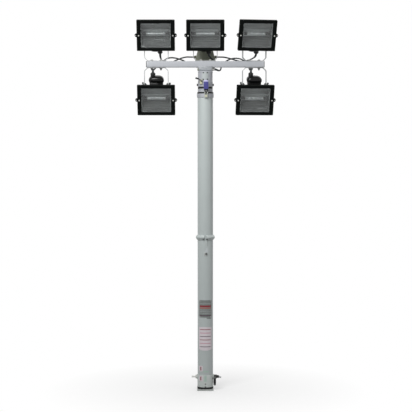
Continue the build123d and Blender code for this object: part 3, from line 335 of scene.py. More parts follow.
def softened(bm, width, segments=2, above=30):
    """Rounds every edge that turns by more than an angle, as casting, filing or paint does."""
    inner = [edge for edge in bm.edges if len(edge.link_faces) == 2]
    sharp = [edge for edge in inner if edge.calc_face_angle() > radians(above)]
    bmesh.ops.bevel(bm, geom=sharp, offset=width, offset_type="OFFSET", segments=segments, profile=0.5,
                    affect="EDGES", clamp_overlap=True, material=-1)
    return bm


def block(x, y, z, corner=0.5):
    """A box between two corners with softened edges."""
    bm = bmesh.new()
    bmesh.ops.create_cube(bm, size=1)
    size = Vector((x[1] - x[0], y[1] - y[0], z[1] - z[0]))
    middle = Vector((x[0] + x[1], y[0] + y[1], z[0] + z[1])) / 2
    bmesh.ops.scale(bm, vec=size, verts=bm.verts)
    softened(bm, corner)
    bmesh.ops.translate(bm, vec=middle, verts=bm.verts)
    return bm


def hexagon(radius, height, chamfer=0.6):
    """A hexagonal nut or head from Z=0 upwards, with chamfered edges."""
    bm = bmesh.new()
    bmesh.ops.create_cone(bm, cap_ends=True, segments=6, radius1=radius, radius2=radius, depth=height)
    bmesh.ops.translate(bm, vec=(0, 0, height / 2), verts=bm.verts)
    return softened(bm, chamfer, 1)


def moved(bm, matrix):
    """The same shape in another place."""
    bmesh.ops.transform(bm, matrix=matrix, verts=bm.verts)
    return bm


def joined(bm, *others):
    """Adds other shapes to this one."""
    for other in others:
        scrap = bpy.data.meshes.new("scrap")
        other.to_mesh(scrap)
        other.free()
        bm.from_mesh(scrap)
        bpy.data.meshes.remove(scrap)
    return bm


def toward(start, direction):
    """A place whose Z runs along a direction."""
    return Matrix.Translation(start) @ Vector(direction).to_track_quat("Z", "Y").to_matrix().to_4x4()


# Two loops in one plane confuse the bridge, so loops are bridged well apart and then moved to their depth.
APART = 1000.0


def bridged(sections, closed=False, steps=5):
    """A shell through rounded rectangles, each (width, height, corner, depth), in their order."""
    bm = bmesh.new()
    loops = []
    for n, (width, height, corner, depth) in enumerate(sections):
        sheet = rounded_sheet(width, height, corner, steps)
        bmesh.ops.delete(sheet, geom=sheet.faces[:], context="FACES_ONLY")
        bmesh.ops.translate(sheet, vec=(0, 0, APART * n), verts=sheet.verts)
        seen = len(bm.edges)
        joined(bm, sheet)
        bm.edges.ensure_lookup_table()
        loops.append(bm.edges[seen:])
    pairs = list(zip(loops, loops[1:])) + ([(loops[-1], loops[0])] if closed else [])
    for one, other in pairs:
        bmesh.ops.bridge_loops(bm, edges=one + other)
    for n, loop in enumerate(loops):
        around = list({vert for edge in loop for vert in edge.verts})
        bmesh.ops.translate(bm, vec=(0, 0, sections[n][3] - APART * n), verts=around)
    if not closed:
        bmesh.ops.edgeloop_fill(bm, edges=loops[0])
        bmesh.ops.edgeloop_fill(bm, edges=loops[-1])
    bmesh.ops.recalc_face_normals(bm, faces=bm.faces)
    return bm


def wrapped(radius, out, x, z, steps=24):
    """A thin strip bent round the front of a tube between two x and two z positions."""
    start, end = asin(x[0] / radius), asin(x[1] / radius)
    bm = bmesh.new()
    corners = [bm.verts.new((0, -r, height)) for r, height in
               ((radius, z[0]), (radius + out, z[0]), (radius + out, z[1]), (radius, z[1]))]
    face = bm.faces.new(corners)
    bmesh.ops.rotate(bm, cent=(0, 0, 0), matrix=Matrix.Rotation(start, 3, "Z"), verts=bm.verts)
    bmesh.ops.spin(bm, geom=corners + list(face.edges) + [face], cent=(0, 0, 0), axis=(0, 0, 1),
                   angle=end - start, steps=steps)
    bmesh.ops.recalc_face_normals(bm, faces=bm.faces)
    return bm


# %% Finish a piece and give it to its CAD body
def piece(name, bm, body, finish, *stands_for, crisp=22):
    """Scales a shape to metres, smooths its round faces, and hangs it on a body in place of CAD nodes."""
    bmesh.ops.scale(bm, vec=(MM, MM, MM), verts=bm.verts)
    for face in bm.faces:
        face.smooth = True
    for edge in bm.edges:
        edge.smooth = len(edge.link_faces) == 2 and edge.calc_face_angle() < radians(crisp)
    mesh = bpy.data.meshes.new(name)
    bm.to_mesh(mesh)
    bm.free()
    mesh.materials.append(finish)
    made = bpy.data.objects.new(name, mesh)
    scene.collection.objects.link(made)
    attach(made, body)
    if stands_for:
        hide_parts(*stands_for)
    print(f"{name}: {len(mesh.polygons)} faces on {body}")
    return made


def repaint(finish, *nodes):
    """Gives CAD nodes whose shape is right a better finish."""
    for node in nodes:
        mesh = frame["nodes"][node].data
        mesh.materials.clear()
        mesh.materials.append(finish)


# %% [markdown]
# ## Finishes
# Three effects turn up again and again on equipment that lives outdoors: a fine uneven grain in the
# paint, bare metal where edges rub, and dust that settles on what faces up. The dust group also lays
# the dark film of painted shade on the reflectors. Each is a node group with named sockets, so that a
# finish only says how much of it there is. The groups hand out colours, masks and heights; the
# Principled shader stays in each finish.

# %% A helper for node groups
def colour(code):
    """A paint chart's hexadecimal code as linear light."""
    shares = [int(code[n:n + 2], 16) / 255 for n in (0, 2, 4)]
    return (*(s / 12.92 if s <= 0.04045 else ((s + 0.055) / 1.055) ** 2.4 for s in shares), 1.0)


def node_group(name, inputs, outputs):
    """An empty shader group with its sockets; returns the group, its node maker and its ends."""
    group = bpy.data.node_groups.new(name, "ShaderNodeTree")
    for label, kind, value in inputs:
        group.interface.new_socket(name=label, in_out="INPUT", socket_type=kind).default_value = value
    for label, kind in outputs:
        group.interface.new_socket(name=label, in_out="OUTPUT", socket_type=kind)
    return group, group.nodes.new("NodeGroupInput"), group.nodes.new("NodeGroupOutput")


def math_node(tree, operation, a, b, clamp=False):
    """A Math node fed by sockets or plain numbers."""
    node = tree.nodes.new("ShaderNodeMath")
    node.operation = operation
    node.use_clamp = clamp
    for slot, value in zip(node.inputs, (a, b)):
        if isinstance(value, (int, float)):
            slot.default_value = value
        else:
            tree.links.new(value, slot)
    return node.outputs[0]


def mix_colour(tree, factor, a, b):
    """A colour Mix node fed by sockets or plain colours."""
    node = tree.nodes.new("ShaderNodeMix")
    node.data_type = "RGBA"
    for slot, value in zip((node.inputs[0], node.inputs[6], node.inputs[7]), (factor, a, b)):
        if isinstance(value, (int, float, tuple)):
            slot.default_value = value
        else:
            tree.links.new(value, slot)
    return node.outputs[2]


def noise(tree, vector, scale, detail=3.0, roughness=0.55):
    """A Noise Texture in metres of the object's own coordinates."""
    node = tree.nodes.new("ShaderNodeTexNoise")
    node.inputs["Scale"].default_value = scale
    node.inputs["Detail"].default_value = detail
    node.inputs["Roughness"].default_value = roughness
    tree.links.new(vector, node.inputs["Vector"])
    return node.outputs["Fac"]


def ramp(tree, value, low, high, to_low=0.0, to_high=1.0):
    """Stretches a value between two limits, and clips it there."""
    node = tree.nodes.new("ShaderNodeMapRange")
    tree.links.new(value, node.inputs["Value"])
    for label, number in (("From Min", low), ("From Max", high), ("To Min", to_low), ("To Max", to_high)):
        node.inputs[label].default_value = number
    return node.outputs["Result"]


# %% Group: uneven grain
GRAIN, ends_in, ends_out = node_group(
    "surface_grain",
    [("Color", "NodeSocketColor", (0.5, 0.5, 0.5, 1)), ("Vector", "NodeSocketVector", (0, 0, 0)),
     ("Mottle", "NodeSocketFloat", 0.1), ("Roughness", "NodeSocketFloat", 0.4)],
    [("Color", "NodeSocketColor"), ("Roughness", "NodeSocketFloat"), ("Height", "NodeSocketFloat")])
broad = noise(GRAIN, ends_in.outputs["Vector"], 14.0, 4.0)
fine = noise(GRAIN, ends_in.outputs["Vector"], 420.0, 2.0)
speck = noise(GRAIN, ends_in.outputs["Vector"], 1500.0, 1.0)
swing = math_node(GRAIN, "MULTIPLY", math_node(GRAIN, "SUBTRACT", broad, 0.5), ends_in.outputs["Mottle"])
shade = math_node(GRAIN, "ADD", 1.0, math_node(GRAIN, "MULTIPLY", swing, 2.0))
tint = GRAIN.nodes.new("ShaderNodeVectorMath")
tint.operation = "SCALE"
GRAIN.links.new(ends_in.outputs["Color"], tint.inputs[0])
GRAIN.links.new(shade, tint.inputs["Scale"])
GRAIN.links.new(tint.outputs["Vector"], ends_out.inputs["Color"])
patchy = math_node(GRAIN, "ADD", ends_in.outputs["Roughness"],
                   math_node(GRAIN, "MULTIPLY", math_node(GRAIN, "SUBTRACT", fine, 0.5), 0.25), True)
GRAIN.links.new(patchy, ends_out.inputs["Roughness"])
GRAIN.links.new(math_node(GRAIN, "ADD", fine, math_node(GRAIN, "MULTIPLY", speck, 0.5)),
                ends_out.inputs["Height"])
print(GRAIN.name, [item.name for item in GRAIN.interface.items_tree])

# %% Group: rubbed edges
WEAR, ends_in, ends_out = node_group(
    "rubbed_edges",
    [("Color", "NodeSocketColor", (0.5, 0.5, 0.5, 1)), ("Bare", "NodeSocketColor", (0.6, 0.6, 0.6, 1)),
     ("Vector", "NodeSocketVector", (0, 0, 0)), ("Amount", "NodeSocketFloat", 0.5)],
    [("Color", "NodeSocketColor"), ("Mask", "NodeSocketFloat")])
form = WEAR.nodes.new("ShaderNodeNewGeometry")
edge = ramp(WEAR, form.outputs["Pointiness"], 0.505, 0.60)
broken = ramp(WEAR, noise(WEAR, ends_in.outputs["Vector"], 160.0, 5.0, 0.7), 0.42, 0.62)
rub = math_node(WEAR, "MULTIPLY", math_node(WEAR, "MULTIPLY", edge, broken), ends_in.outputs["Amount"], True)
WEAR.links.new(mix_colour(WEAR, rub, ends_in.outputs["Color"], ends_in.outputs["Bare"]),
               ends_out.inputs["Color"])
WEAR.links.new(rub, ends_out.inputs["Mask"])
print(WEAR.name, [item.name for item in WEAR.interface.items_tree])

# %% Group: settled dust, and painted shade on the reflectors
# Dust settles on what faces up; with a dark tint and a large amount the same film is painted shade.
DUST_AND_SHADE, ends_in, ends_out = node_group(
    "settled_dust",
    [("Color", "NodeSocketColor", (0.5, 0.5, 0.5, 1)), ("Dust", "NodeSocketColor", colour("B5B2A8")),
     ("Vector", "NodeSocketVector", (0, 0, 0)), ("Amount", "NodeSocketFloat", 0.3),
     ("Start", "NodeSocketFloat", 0.2)],
    [("Color", "NodeSocketColor"), ("Mask", "NodeSocketFloat")])
form = DUST_AND_SHADE.nodes.new("ShaderNodeNewGeometry")
parts = DUST_AND_SHADE.nodes.new("ShaderNodeSeparateXYZ")
DUST_AND_SHADE.links.new(form.outputs["Normal"], parts.inputs[0])
facing_up = ramp(DUST_AND_SHADE, parts.outputs["Z"], 0.2, 1.0, 0.12, 1.0)
DUST_AND_SHADE.links.new(ends_in.outputs["Start"], facing_up.node.inputs["From Min"])
drift = ramp(DUST_AND_SHADE, noise(DUST_AND_SHADE, ends_in.outputs["Vector"], 55.0, 6.0, 0.65), 0.3, 0.7, 0.25, 1.0)
film = math_node(DUST_AND_SHADE, "MULTIPLY", math_node(DUST_AND_SHADE, "MULTIPLY", facing_up, drift), ends_in.outputs["Amount"],
                 True)
DUST_AND_SHADE.links.new(mix_colour(DUST_AND_SHADE, film, ends_in.outputs["Color"], ends_in.outputs["Dust"]),
               ends_out.inputs["Color"])
DUST_AND_SHADE.links.new(film, ends_out.inputs["Mask"])
print(DUST_AND_SHADE.name, [item.name for item in DUST_AND_SHADE.interface.items_tree])


# %% One recipe for painted, plated, moulded and rubber surfaces
def finish(slot, code, roughness, metallic=0.0, mottle=0.06, bump=0.04, wear=0.0, bare="B9BBBA", dust_and_shade=0.12,
           dust_and_shade_tint="B5B2A8", upward_from=0.2, name=None, stretch=(1, 1, 1), **shader):
    """A finish from the three groups; the shader's plain values are set on its own sockets."""
    made = bpy.data.materials.new(name or slot)
    made["slot"] = slot
    made.use_nodes = True
    tree = made.node_tree
    gloss = tree.nodes["Principled BSDF"]
    for label, value in shader.items():
        gloss.inputs[label.replace("_", " ")].default_value = value
    place = tree.nodes.new("ShaderNodeTexCoord")
    grain_way = tree.nodes.new("ShaderNodeMapping")
    grain_way.inputs["Scale"].default_value = stretch
    tree.links.new(place.outputs["Object"], grain_way.inputs["Vector"])
    steps = []
    for group in (GRAIN, WEAR, DUST_AND_SHADE):
        step = tree.nodes.new("ShaderNodeGroup")
        step.node_tree = group
        tree.links.new(grain_way.outputs["Vector"], step.inputs["Vector"])
        steps.append(step)
    grain, rubbed, dust_and_shade_node = steps
    grain.inputs["Color"].default_value = colour(code)
    grain.inputs["Mottle"].default_value = mottle
    grain.inputs["Roughness"].default_value = roughness
    rubbed.inputs["Bare"].default_value = colour(bare)
    rubbed.inputs["Amount"].default_value = wear
    # The film's amount, tint and lowest facing: settled dust on most finishes, painted shade on the
    # reflectors.
    dust_and_shade_node.inputs["Amount"].default_value = dust_and_shade
    dust_and_shade_node.inputs["Dust"].default_value = colour(dust_and_shade_tint)
    dust_and_shade_node.inputs["Start"].default_value = upward_from
    tree.links.new(grain.outputs["Color"], rubbed.inputs["Color"])
    tree.links.new(rubbed.outputs["Color"], dust_and_shade_node.inputs["Color"])
    tree.links.new(dust_and_shade_node.outputs["Color"], gloss.inputs["Base Color"])
    dull = math_node(tree, "ADD", grain.outputs["Roughness"],
                     math_node(tree, "MULTIPLY", dust_and_shade_node.outputs["Mask"], 0.5), True)
    tree.links.new(dull, gloss.inputs["Roughness"])
    shine = math_node(tree, "MAXIMUM", rubbed.outputs["Mask"], metallic)
    clean = math_node(tree, "SUBTRACT", 1.0, dust_and_shade_node.outputs["Mask"])
    tree.links.new(math_node(tree, "MULTIPLY", shine, clean), gloss.inputs["Metallic"])
    relief = tree.nodes.new("ShaderNodeBump")
    relief.inputs["Strength"].default_value = bump
    relief.inputs["Distance"].default_value = 0.001
    tree.links.new(grain.outputs["Height"], relief.inputs["Height"])
    tree.links.new(relief.outputs["Normal"], gloss.inputs["Normal"])
    return made


# %% The mast's finishes
mast_paint = finish("mast_paint", "B8C0BF", 0.42, bump=0.05, mottle=0.05, dust_and_shade=0.10, wear=0.25)
drip_stain = finish("mast_paint", "B4CABF", 0.6, name="drip_stain", mottle=0.2, dust_and_shade=0.05)
# A paler copy of the mast paint: painted light on the cup at the mast's foot, with real mottle, dust and
# wear.
cup_paint = finish("mast_paint", "C6CDCA", 0.45, name="cup_paint", mottle=0.14, bump=0.12, dust_and_shade=0.15,
                   wear=0.3)
arm_paint = finish("arm_paint", "A8ABB0", 0.45, bump=0.05, mottle=0.06, dust_and_shade=0.15, wear=0.4)
# A darker copy of the arm paint: painted shade, as the saddle sits in the arm's shadow.
saddle_paint = finish("arm_paint", "84888D", 0.45, name="saddle_paint", mottle=0.1, dust_and_shade=0.15, wear=0.4)
collar_paint = finish("mast_paint", "A2A5AB", 0.4, name="collar_paint", mottle=0.12, dust_and_shade=0.1, wear=0.5)
galvanised = finish("galvanised", "A2A6A4", 0.48, 0.75, mottle=0.3, bump=0.06)
anodised = finish("galvanised", "B4B8BA", 0.3, 0.9, name="anodised_tube", mottle=0.05, bump=0.02, dust_and_shade=0.03,
                  stretch=(1, 1, 0.06))
plated_steel = finish("plated_steel", "B2B3B0", 0.32, 0.85, mottle=0.12, bump=0.03, dust_and_shade=0.08)
dark_steel = finish("plated_steel", "4A4C4B", 0.45, 0.6, name="blackened_steel", mottle=0.15, wear=0.4)
zinc_yellow = finish("zinc_yellow", "B8B79A", 0.38, 0.5, mottle=0.2, bump=0.03)
black_rubber = finish("black_rubber", "131517", 0.62, mottle=0.1, bump=0.08, dust_and_shade=0.1,
                      Specular_IOR_Level=0.25)
lead_rubber = finish("lead_rubber", "20282A", 0.5, mottle=0.1, bump=0.05, dust_and_shade=0.1)
black_plastic = finish("black_plastic", "17191A", 0.38, mottle=0.06, bump=0.06, dust_and_shade=0.08,
                       Specular_IOR_Level=0.25)
blue_grip = finish("blue_grip", "292878", 0.3, mottle=0.08, bump=0.03, dust_and_shade=0.1, Coat_Weight=0.4)
# A pale lilac copy of the blue grip's plastic: painted highlight for the grip's top.
grip_highlight_paint = finish("blue_grip", "B9B6DC", 0.35, name="pale_grip_top", mottle=0.05, bump=0.03)
tie_nylon = finish("blue_grip", "B4B5BA", 0.4, name="tie_nylon", mottle=0.05, bump=0.03)
olive_paint = finish("olive_paint", "8C9080", 0.6, mottle=0.35, bump=0.25, dust_and_shade=0.22, wear=0.3)
olive_gland = finish("olive_paint", "6B6E58", 0.5, name="olive_gland", mottle=0.2, bump=0.05)
lamp_black = finish("lamp_black", "0E1011", 0.42, mottle=0.12, bump=0.22, dust_and_shade=0.2, wear=0.3, bare="8C908E",
                    Specular_IOR_Level=0.14)
lamp_edge = finish("lamp_black", "090C0B", 0.42, name="lamp_rim_black", mottle=0.1, bump=0.1, dust_and_shade=0.02,
                   Specular_IOR_Level=0.03)
dome_black = finish("lamp_black", "050606", 0.1, name="dome_black", mottle=0.1, bump=0.05, dust_and_shade=0.02,
                    Specular_IOR_Level=0.22)
# The reflector's heavy dark film, fullest where its faces turn up, is painted shade that dulls the sheet.
reflector_sheet = finish("reflector", "C8CBCA", 0.2, 0.92, name="reflector_sheet", mottle=0.45, bump=0.05,
                         stretch=(0.12, 1, 1), dust_and_shade=4.2, dust_and_shade_tint="434544", upward_from=-0.3)
# Dark grey over pale ceramic: painted shade on the tube holders.
shaded_ceramic = finish("reflector", "3A3C3C", 0.55, name="lamp_holder", mottle=0.1, bump=0.05)
dark_plate = finish("dark_plate", "727775", 0.42, mottle=0.15, bump=0.03, dust_and_shade=0.1, wear=0.3)
bright_plate = finish("bright_plate", "B6BCBE", 0.34, 0.55, mottle=0.12, bump=0.02)
print("finishes", len(bpy.data.materials))

# %% [markdown]
# ## The base
# The mast stands on a square steel plate with a rubber gasket under a cast cup. Air goes in on the left
# through a barbed nipple, and out on the right through a ball valve. Turned parts are spun from half
# of their outline. The plate keeps the CAD shape; a copy of it is merged, and its edges are broken with
# a bevel, because a sawn and filed plate never has a perfectly sharp edge to catch the light.


# %% A copy of a CAD node with broken edges
def filed(node, width, segments=2, above=30):
    """A merged copy of a CAD node's shape, its flat faces made whole and its edges softened."""
    bm = bmesh.new()
    bm.from_mesh(frame["nodes"][node].data)
    bmesh.ops.scale(bm, vec=(1 / MM, 1 / MM, 1 / MM), verts=bm.verts)
    bmesh.ops.remove_doubles(bm, verts=bm.verts, dist=0.01)
    bmesh.ops.dissolve_limit(bm, angle_limit=radians(1), verts=bm.verts, edges=bm.edges)
    return softened(bm, width, segments, above)


piece("mounting_plate", filed("base_plate", 0.8), "mast_base", galvanised, "base_plate")

# %% Gasket and cast cup
low, high = reach("base_gasket")
GASKET_R = high.x
bottom, top = low.z, high.z
gasket = turned([(GASKET_R - 9, bottom), (GASKET_R - 1.5, bottom), (GASKET_R - 0.2, bottom + 2),
                 (GASKET_R, bottom + 4), (GASKET_R - 0.2, top - 2), (GASKET_R - 1.2, top),
                 (GASKET_R - 9, top), (GASKET_R - 9, bottom)])
piece("gasket_ring", gasket, "mast_base", black_rubber, "base_gasket")

tube_low, tube_high = reach("base_tube")
TUBE_R = tube_high.x
CUP_R = TUBE_R + 1
cup_foot, cup_top = high.z, tube_low.z
port_x = reach("base_casting")[1].x
port_z = pivots["vent_handle"].z
cup = turned([(0, cup_foot + 1), (CUP_R - 4, cup_foot), (CUP_R - 1.2, cup_foot + 0.6),
              (CUP_R, cup_foot + 2.4), (CUP_R, cup_top - 1.4), (CUP_R - 0.4, cup_top - 0.4),
              (CUP_R - 1.2, cup_top), (0, cup_top)])
for side in (-1, 1):
    boss = turned([(0, 0), (12, 0), (12, port_x - CUP_R + 9.6), (11.4, port_x - CUP_R + 10),
                   (0, port_x - CUP_R + 10)], 40)
    joined(cup, moved(boss, toward((side * (CUP_R - 10), 0, port_z), (side, 0, 0))))
# The cup wears the paler copy of the mast paint, as painted light.
piece("cast_cup", cup, "mast_base", cup_paint, "base_casting")

# %% Two grub screws in the front of the cup
grub_screws = bmesh.new()
for height in (20, 34):
    screw = hexagon(2.6, 1.2, 0.3)
    dish = turned([(0, 0.2), (2.0, 0.2), (3.2, 0.2), (3.6, 0.9), (4.0, 0.2), (4.0, 0)], 24)
    joined(grub_screws, moved(joined(screw, dish), toward((1, -CUP_R + 0.5, height), (0, -1, 0))))
piece("cup_screws", grub_screws, "mast_base", dark_steel)

# %% Barbed air nipple on the left
nipple_low = reach("air_nipple")[0]
HEX_LONG = 7.0
barb_long = (-port_x - HEX_LONG - nipple_low.x) / 3
nipple = hexagon(10, HEX_LONG, 1.0)
tail = [(4.0, HEX_LONG - 1), (4.4, HEX_LONG)]
for n in range(3):
    tail += [(4.5, HEX_LONG + n * barb_long + 0.6), (3.5, HEX_LONG + (n + 1) * barb_long - 0.2),
             (4.3, HEX_LONG + (n + 1) * barb_long)]
tail_end = HEX_LONG + 3 * barb_long
tail[-2:] = [(3.5, tail_end), (3.0, tail_end), (3.0, HEX_LONG + 2), (0, HEX_LONG + 2)]
joined(nipple, turned(tail, 32))
piece("air_inlet", moved(nipple, toward((-port_x, 0, port_z), (-1, 0, 0))), "mast_base", plated_steel,
      "air_nipple")

# %% Ball valve on the right
stem_x = pivots["vent_handle"].x
valve_right = reach("vent_valve")[1].x
valve = turned([(0, 0), (9.4, 0), (10.6, 1.2), (10.8, 3), (9.6, 4), (9.6, 10), (10.8, 11), (10.8, 13),
                (10, 14), (7.4, 14), (7.4, 16), (6.8, 16.5), (6.8, 18), (7.4, 18.5), (7.4, 24.2), (6.6, 25),
                (0, 25)], 40)
moved(valve, toward((port_x, 0, port_z), (1, 0, 0)))
stem = turned([(0, 0), (5.6, 0), (5.6, 11), (4.6, 12), (4.6, 17), (3.9, 17.2), (3.9, 20.2), (3.4, 20.5),
               (0, 20.5)], 32)
joined(valve, moved(stem, toward((stem_x, 0, port_z), (0, -1, 0))))
piece("ball_valve", valve, "mast_base", black_plastic, "vent_valve")
hose_tail = turned([(3, 0), (4.4, 0), (4.4, valve_right - port_x - 25.4), (4.0, valve_right - port_x - 25),
                    (3, valve_right - port_x - 25), (3, 0)], 32)
clear_hose = finish("lamp_glass", "D4D6D8", 0.25, name="clear_hose", mottle=0.05, bump=0.02,
                    Transmission_Weight=0.6)
piece("vent_hose_tail", moved(hose_tail, toward((port_x + 24.4, 0, port_z), (1, 0, -0.35))), "mast_base",
      clear_hose)

# %% The valve's lever, with a dipped grip and a bare tip
lever_low, lever_high = reach("vent_lever")
blade_y = (pivots["vent_handle"].y - 1.5, pivots["vent_handle"].y + 1.5)
blade = rounded_sheet(11.6, lever_high.z - lever_low.z, 3.2)
thickened(blade, 2.6)
softened(blade, 0.4)
blade_middle = (lever_low.z + lever_high.z) / 2
place = Matrix.Translation((stem_x, blade_y[1] - 0.2, blade_middle)) @ Matrix.Rotation(radians(90), 4, "X")
piece("vent_blade", moved(blade, place), "vent_handle", dark_steel, "vent_lever")
grip = bridged([(8, 5, 2, 0), (12.6, 6.6, 3, 2.5), (13, 7, 3.2, 12), (12.6, 6.6, 3, 23.5), (9, 5, 2, 26)])
piece("vent_grip", moved(grip, Matrix.Translation((stem_x, sum(blade_y) / 2, port_z - 32.8))), "vent_handle",
      black_plastic)
cap_nut = joined(hexagon(5, 3.4, 0.6), turned([(0, 4.6), (1.8, 4.4), (2.4, 3.2), (2.4, 3), (0, 3)], 20))
CAP_NUT_OUT = 1.5
piece("vent_nut", moved(cap_nut, toward((stem_x, blade_y[0] + CAP_NUT_OUT, port_z), (0, -1, 0))), "mast_base",
      dark_steel)

# %% [markdown]
# ## The tubes
# Each section is an extruded aluminium tube. The lowest is painted light grey and carries a ridged clamp
# ring half way up. The two inner sections stay bare and anodised, because they slide through the seals.
# They keep their CAD shape, which already is a plain tube, and get a finish that is drawn out along
# the mast, as a tube that came out of a die is.

# %% The painted base tube
tube = turned([(TUBE_R - 3, tube_low.z), (TUBE_R - 0.4, tube_low.z), (TUBE_R, tube_low.z + 0.4),
               (TUBE_R, tube_high.z - 0.4), (TUBE_R - 0.4, tube_high.z), (TUBE_R - 3, tube_high.z),
               (TUBE_R - 3, tube_low.z)], 128)
TUBE_CUTS = 10
for n in range(1, TUBE_CUTS):
    height = tube_low.z + (tube_high.z - tube_low.z) * n / TUBE_CUTS
    bmesh.ops.bisect_plane(tube, geom=tube.verts[:] + tube.edges[:] + tube.faces[:], plane_co=(0, 0, height),
                           plane_no=(0, 0, 1))
piece("painted_tube", tube, "mast_base", mast_paint, "base_tube")
repaint(anodised, "middle_tube", "inner_tube")

# %% The clamp ring: two ridged halves, open in front, drawn together behind
ring_low, ring_high = reach("clamp_ring")
ring_z = (ring_low.z + ring_high.z) / 2
RING_R = ring_high.x
GAP_HALF = 4.6
profile = [(TUBE_R + 0.1, -12), (TUBE_R + 2.6, -12), (TUBE_R + 3.1, -11.4), (RING_R - 0.5, -3.2),
           (RING_R, -2.4), (RING_R, 2.4), (RING_R - 0.5, 3.2), (TUBE_R + 3.1, 11.4), (TUBE_R + 2.6, 12),
           (TUBE_R + 0.1, 12)]
half_gap = asin(GAP_HALF / (TUBE_R + 4))
ring = bmesh.new()
for turn in (-pi / 2, pi / 2):
    shell = bmesh.new()
    corners = [shell.verts.new((radius, 0, height)) for radius, height in profile]
    face = shell.faces.new(corners)
    bmesh.ops.spin(shell, geom=corners + list(face.edges) + [face], cent=(0, 0, 0), axis=(0, 0, 1),
                   angle=pi - 2 * half_gap, steps=56)
    bmesh.ops.recalc_face_normals(shell, faces=shell.faces)
    joined(ring, moved(shell, Matrix.Rotation(turn + half_gap, 4, "Z")))
for side in (-1, 1):
    joined(ring, block(sorted((side * 4.4, side * 11.4)), (TUBE_R + 2.1, ring_high.y), (-6, 6), 1.2))
piece("ridged_ring", moved(ring, Matrix.Translation((0, 0, ring_z))), "mast_base", mast_paint, "clamp_ring")
bolt_y = ring_high.y - 8
ring_bolt = turned([(0, -14), (3, -14), (3, 14), (0, 14)], 24)
for side in (-1, 1):
    joined(ring_bolt, moved(hexagon(5, 3), toward((0, 0, side * 11.4), (0, 0, side))))
piece("ring_bolt", moved(ring_bolt, toward((0, bolt_y, ring_z), (1, 0, 0))), "mast_base", plated_steel)
# Dark strips on the ring's lower facets beside the front gap, in the black rubber finish: painted shade where
# the ring's ends fall in shadow.
gap_painted_shade = bmesh.new()
for x in ((-13, -GAP_HALF), (GAP_HALF, 12)):
    joined(gap_painted_shade, wrapped(TUBE_R + 5.2, 1.1, x, (ring_z - 9.4, ring_z - 1), 8))
piece("ring_end_pads", gap_painted_shade, "mast_base", black_rubber)

# %% A seam below the ring, a bright patch, and a stop screw on its plate
SEAM_FOOT = 713
PATCH_Z, STOP_Z = (685, 703), (667, 684)
seam = wrapped(TUBE_R, 0.25, (11.4, 12.8), (SEAM_FOOT, ring_z - 12), 2)
piece("tube_seam", seam, "mast_base", dark_steel)
patch = softened(wrapped(TUBE_R, 0.5, (0, 12), PATCH_Z, 6), 0.2)
piece("tube_patch", patch, "mast_base", bright_plate)
stop = softened(wrapped(TUBE_R, 1.4, (-6, 9), STOP_Z, 6), 0.4)
piece("stop_plate", stop, "mast_base", galvanised)
stop_screw = turned([(0, 0), (5.2, 0), (5.2, 2.4), (4.4, 3.4), (2.6, 3.4), (2.6, 1.6), (0, 1.6)], 24)
piece("stop_screw", moved(stop_screw, toward((5, -TUBE_R - 0.8, 676.5), (0.1, -1, 0))), "mast_base",
      dark_steel)

# %% [markdown]
# ## Plates and stickers
# A dark plate with plain bars is riveted to the tube, with a striped sticker below it. Each is a thin
# strip bent round the tube: an upright rectangle, spun through the few degrees that it covers. The
# lettering that such plates carry is left out, and plain bars stand in its place.

# %% Plain printing inks
label_white = finish("bright_plate", "DDD4D9", 0.5, name="sticker_white", mottle=0.12, bump=0.01, dust_and_shade=0.1)
red_ink = finish("dark_plate", "7E1020", 0.45, name="red_ink", mottle=0.2, bump=0.01)
orange_ink = finish("dark_plate", "A8503E", 0.5, name="orange_ink", mottle=0.3, bump=0.01)
pink_ink = finish("bright_plate", "C48A9A", 0.5, name="pink_ink", mottle=0.2, bump=0.01)
dark_ink = finish("dark_plate", "4A3A44", 0.5, name="dark_ink", mottle=0.2, bump=0.01)
# Each bar starts just under the face that it is printed on, so that no gap shows at its edge.
INK_THICK = 0.12
PLATE_FACE = TUBE_R + 0.55
STICKER_LIFT = 0.16

# %% The dark plate
plate_low, plate_high = reach("rating_plate")
plate = softened(wrapped(TUBE_R, 0.6, (plate_low.x, plate_high.x), (plate_low.z, plate_high.z), 30), 0.15)
piece("dark_face_plate", plate, "mast_base", dark_plate, "rating_plate")
band_z = plate_low.z + 46
BAR_X = (-27, 27)
red_bar = wrapped(PLATE_FACE, INK_THICK, BAR_X, (band_z + 6, band_z + 14), 24)
piece("red_bar", red_bar, "mast_base", red_ink)
orange_bar = wrapped(PLATE_FACE, INK_THICK, BAR_X, (band_z - 1, band_z + 3), 24)
piece("orange_bar", orange_bar, "mast_base", orange_ink)
lines = bmesh.new()
for height in (22, -9, -17, -25):
    joined(lines, wrapped(PLATE_FACE, INK_THICK, BAR_X, (band_z + height, band_z + height + 1), 24))
piece("plate_lines", lines, "mast_base", bright_plate)
foot_bar = wrapped(PLATE_FACE, INK_THICK, (-29, 29), (plate_low.z + 7, plate_low.z + 12), 30)
piece("plate_foot_bar", foot_bar, "mast_base", dark_ink)
scuff = wrapped(TUBE_R, 0.1, (6, 29), (plate_low.z - 7, plate_low.z - 0.5), 12)
piece("tube_scuff", scuff, "mast_base", dark_plate)
rivets = bmesh.new()
for x in (-26.5, 26.5):
    for height in (plate_low.z + 4, plate_high.z - 4):
        turn = asin(x / TUBE_R)
        rivet = turned([(0, 1.4), (1.2, 1.2), (2.0, 0.6), (2.2, 0), (0, 0)], 16)
        joined(rivets, moved(rivet, toward((x, -TUBE_R * cos(turn) - 0.3, height),
                                           (sin(turn), -cos(turn), 0))))
piece("plate_rivets", rivets, "mast_base", plated_steel)

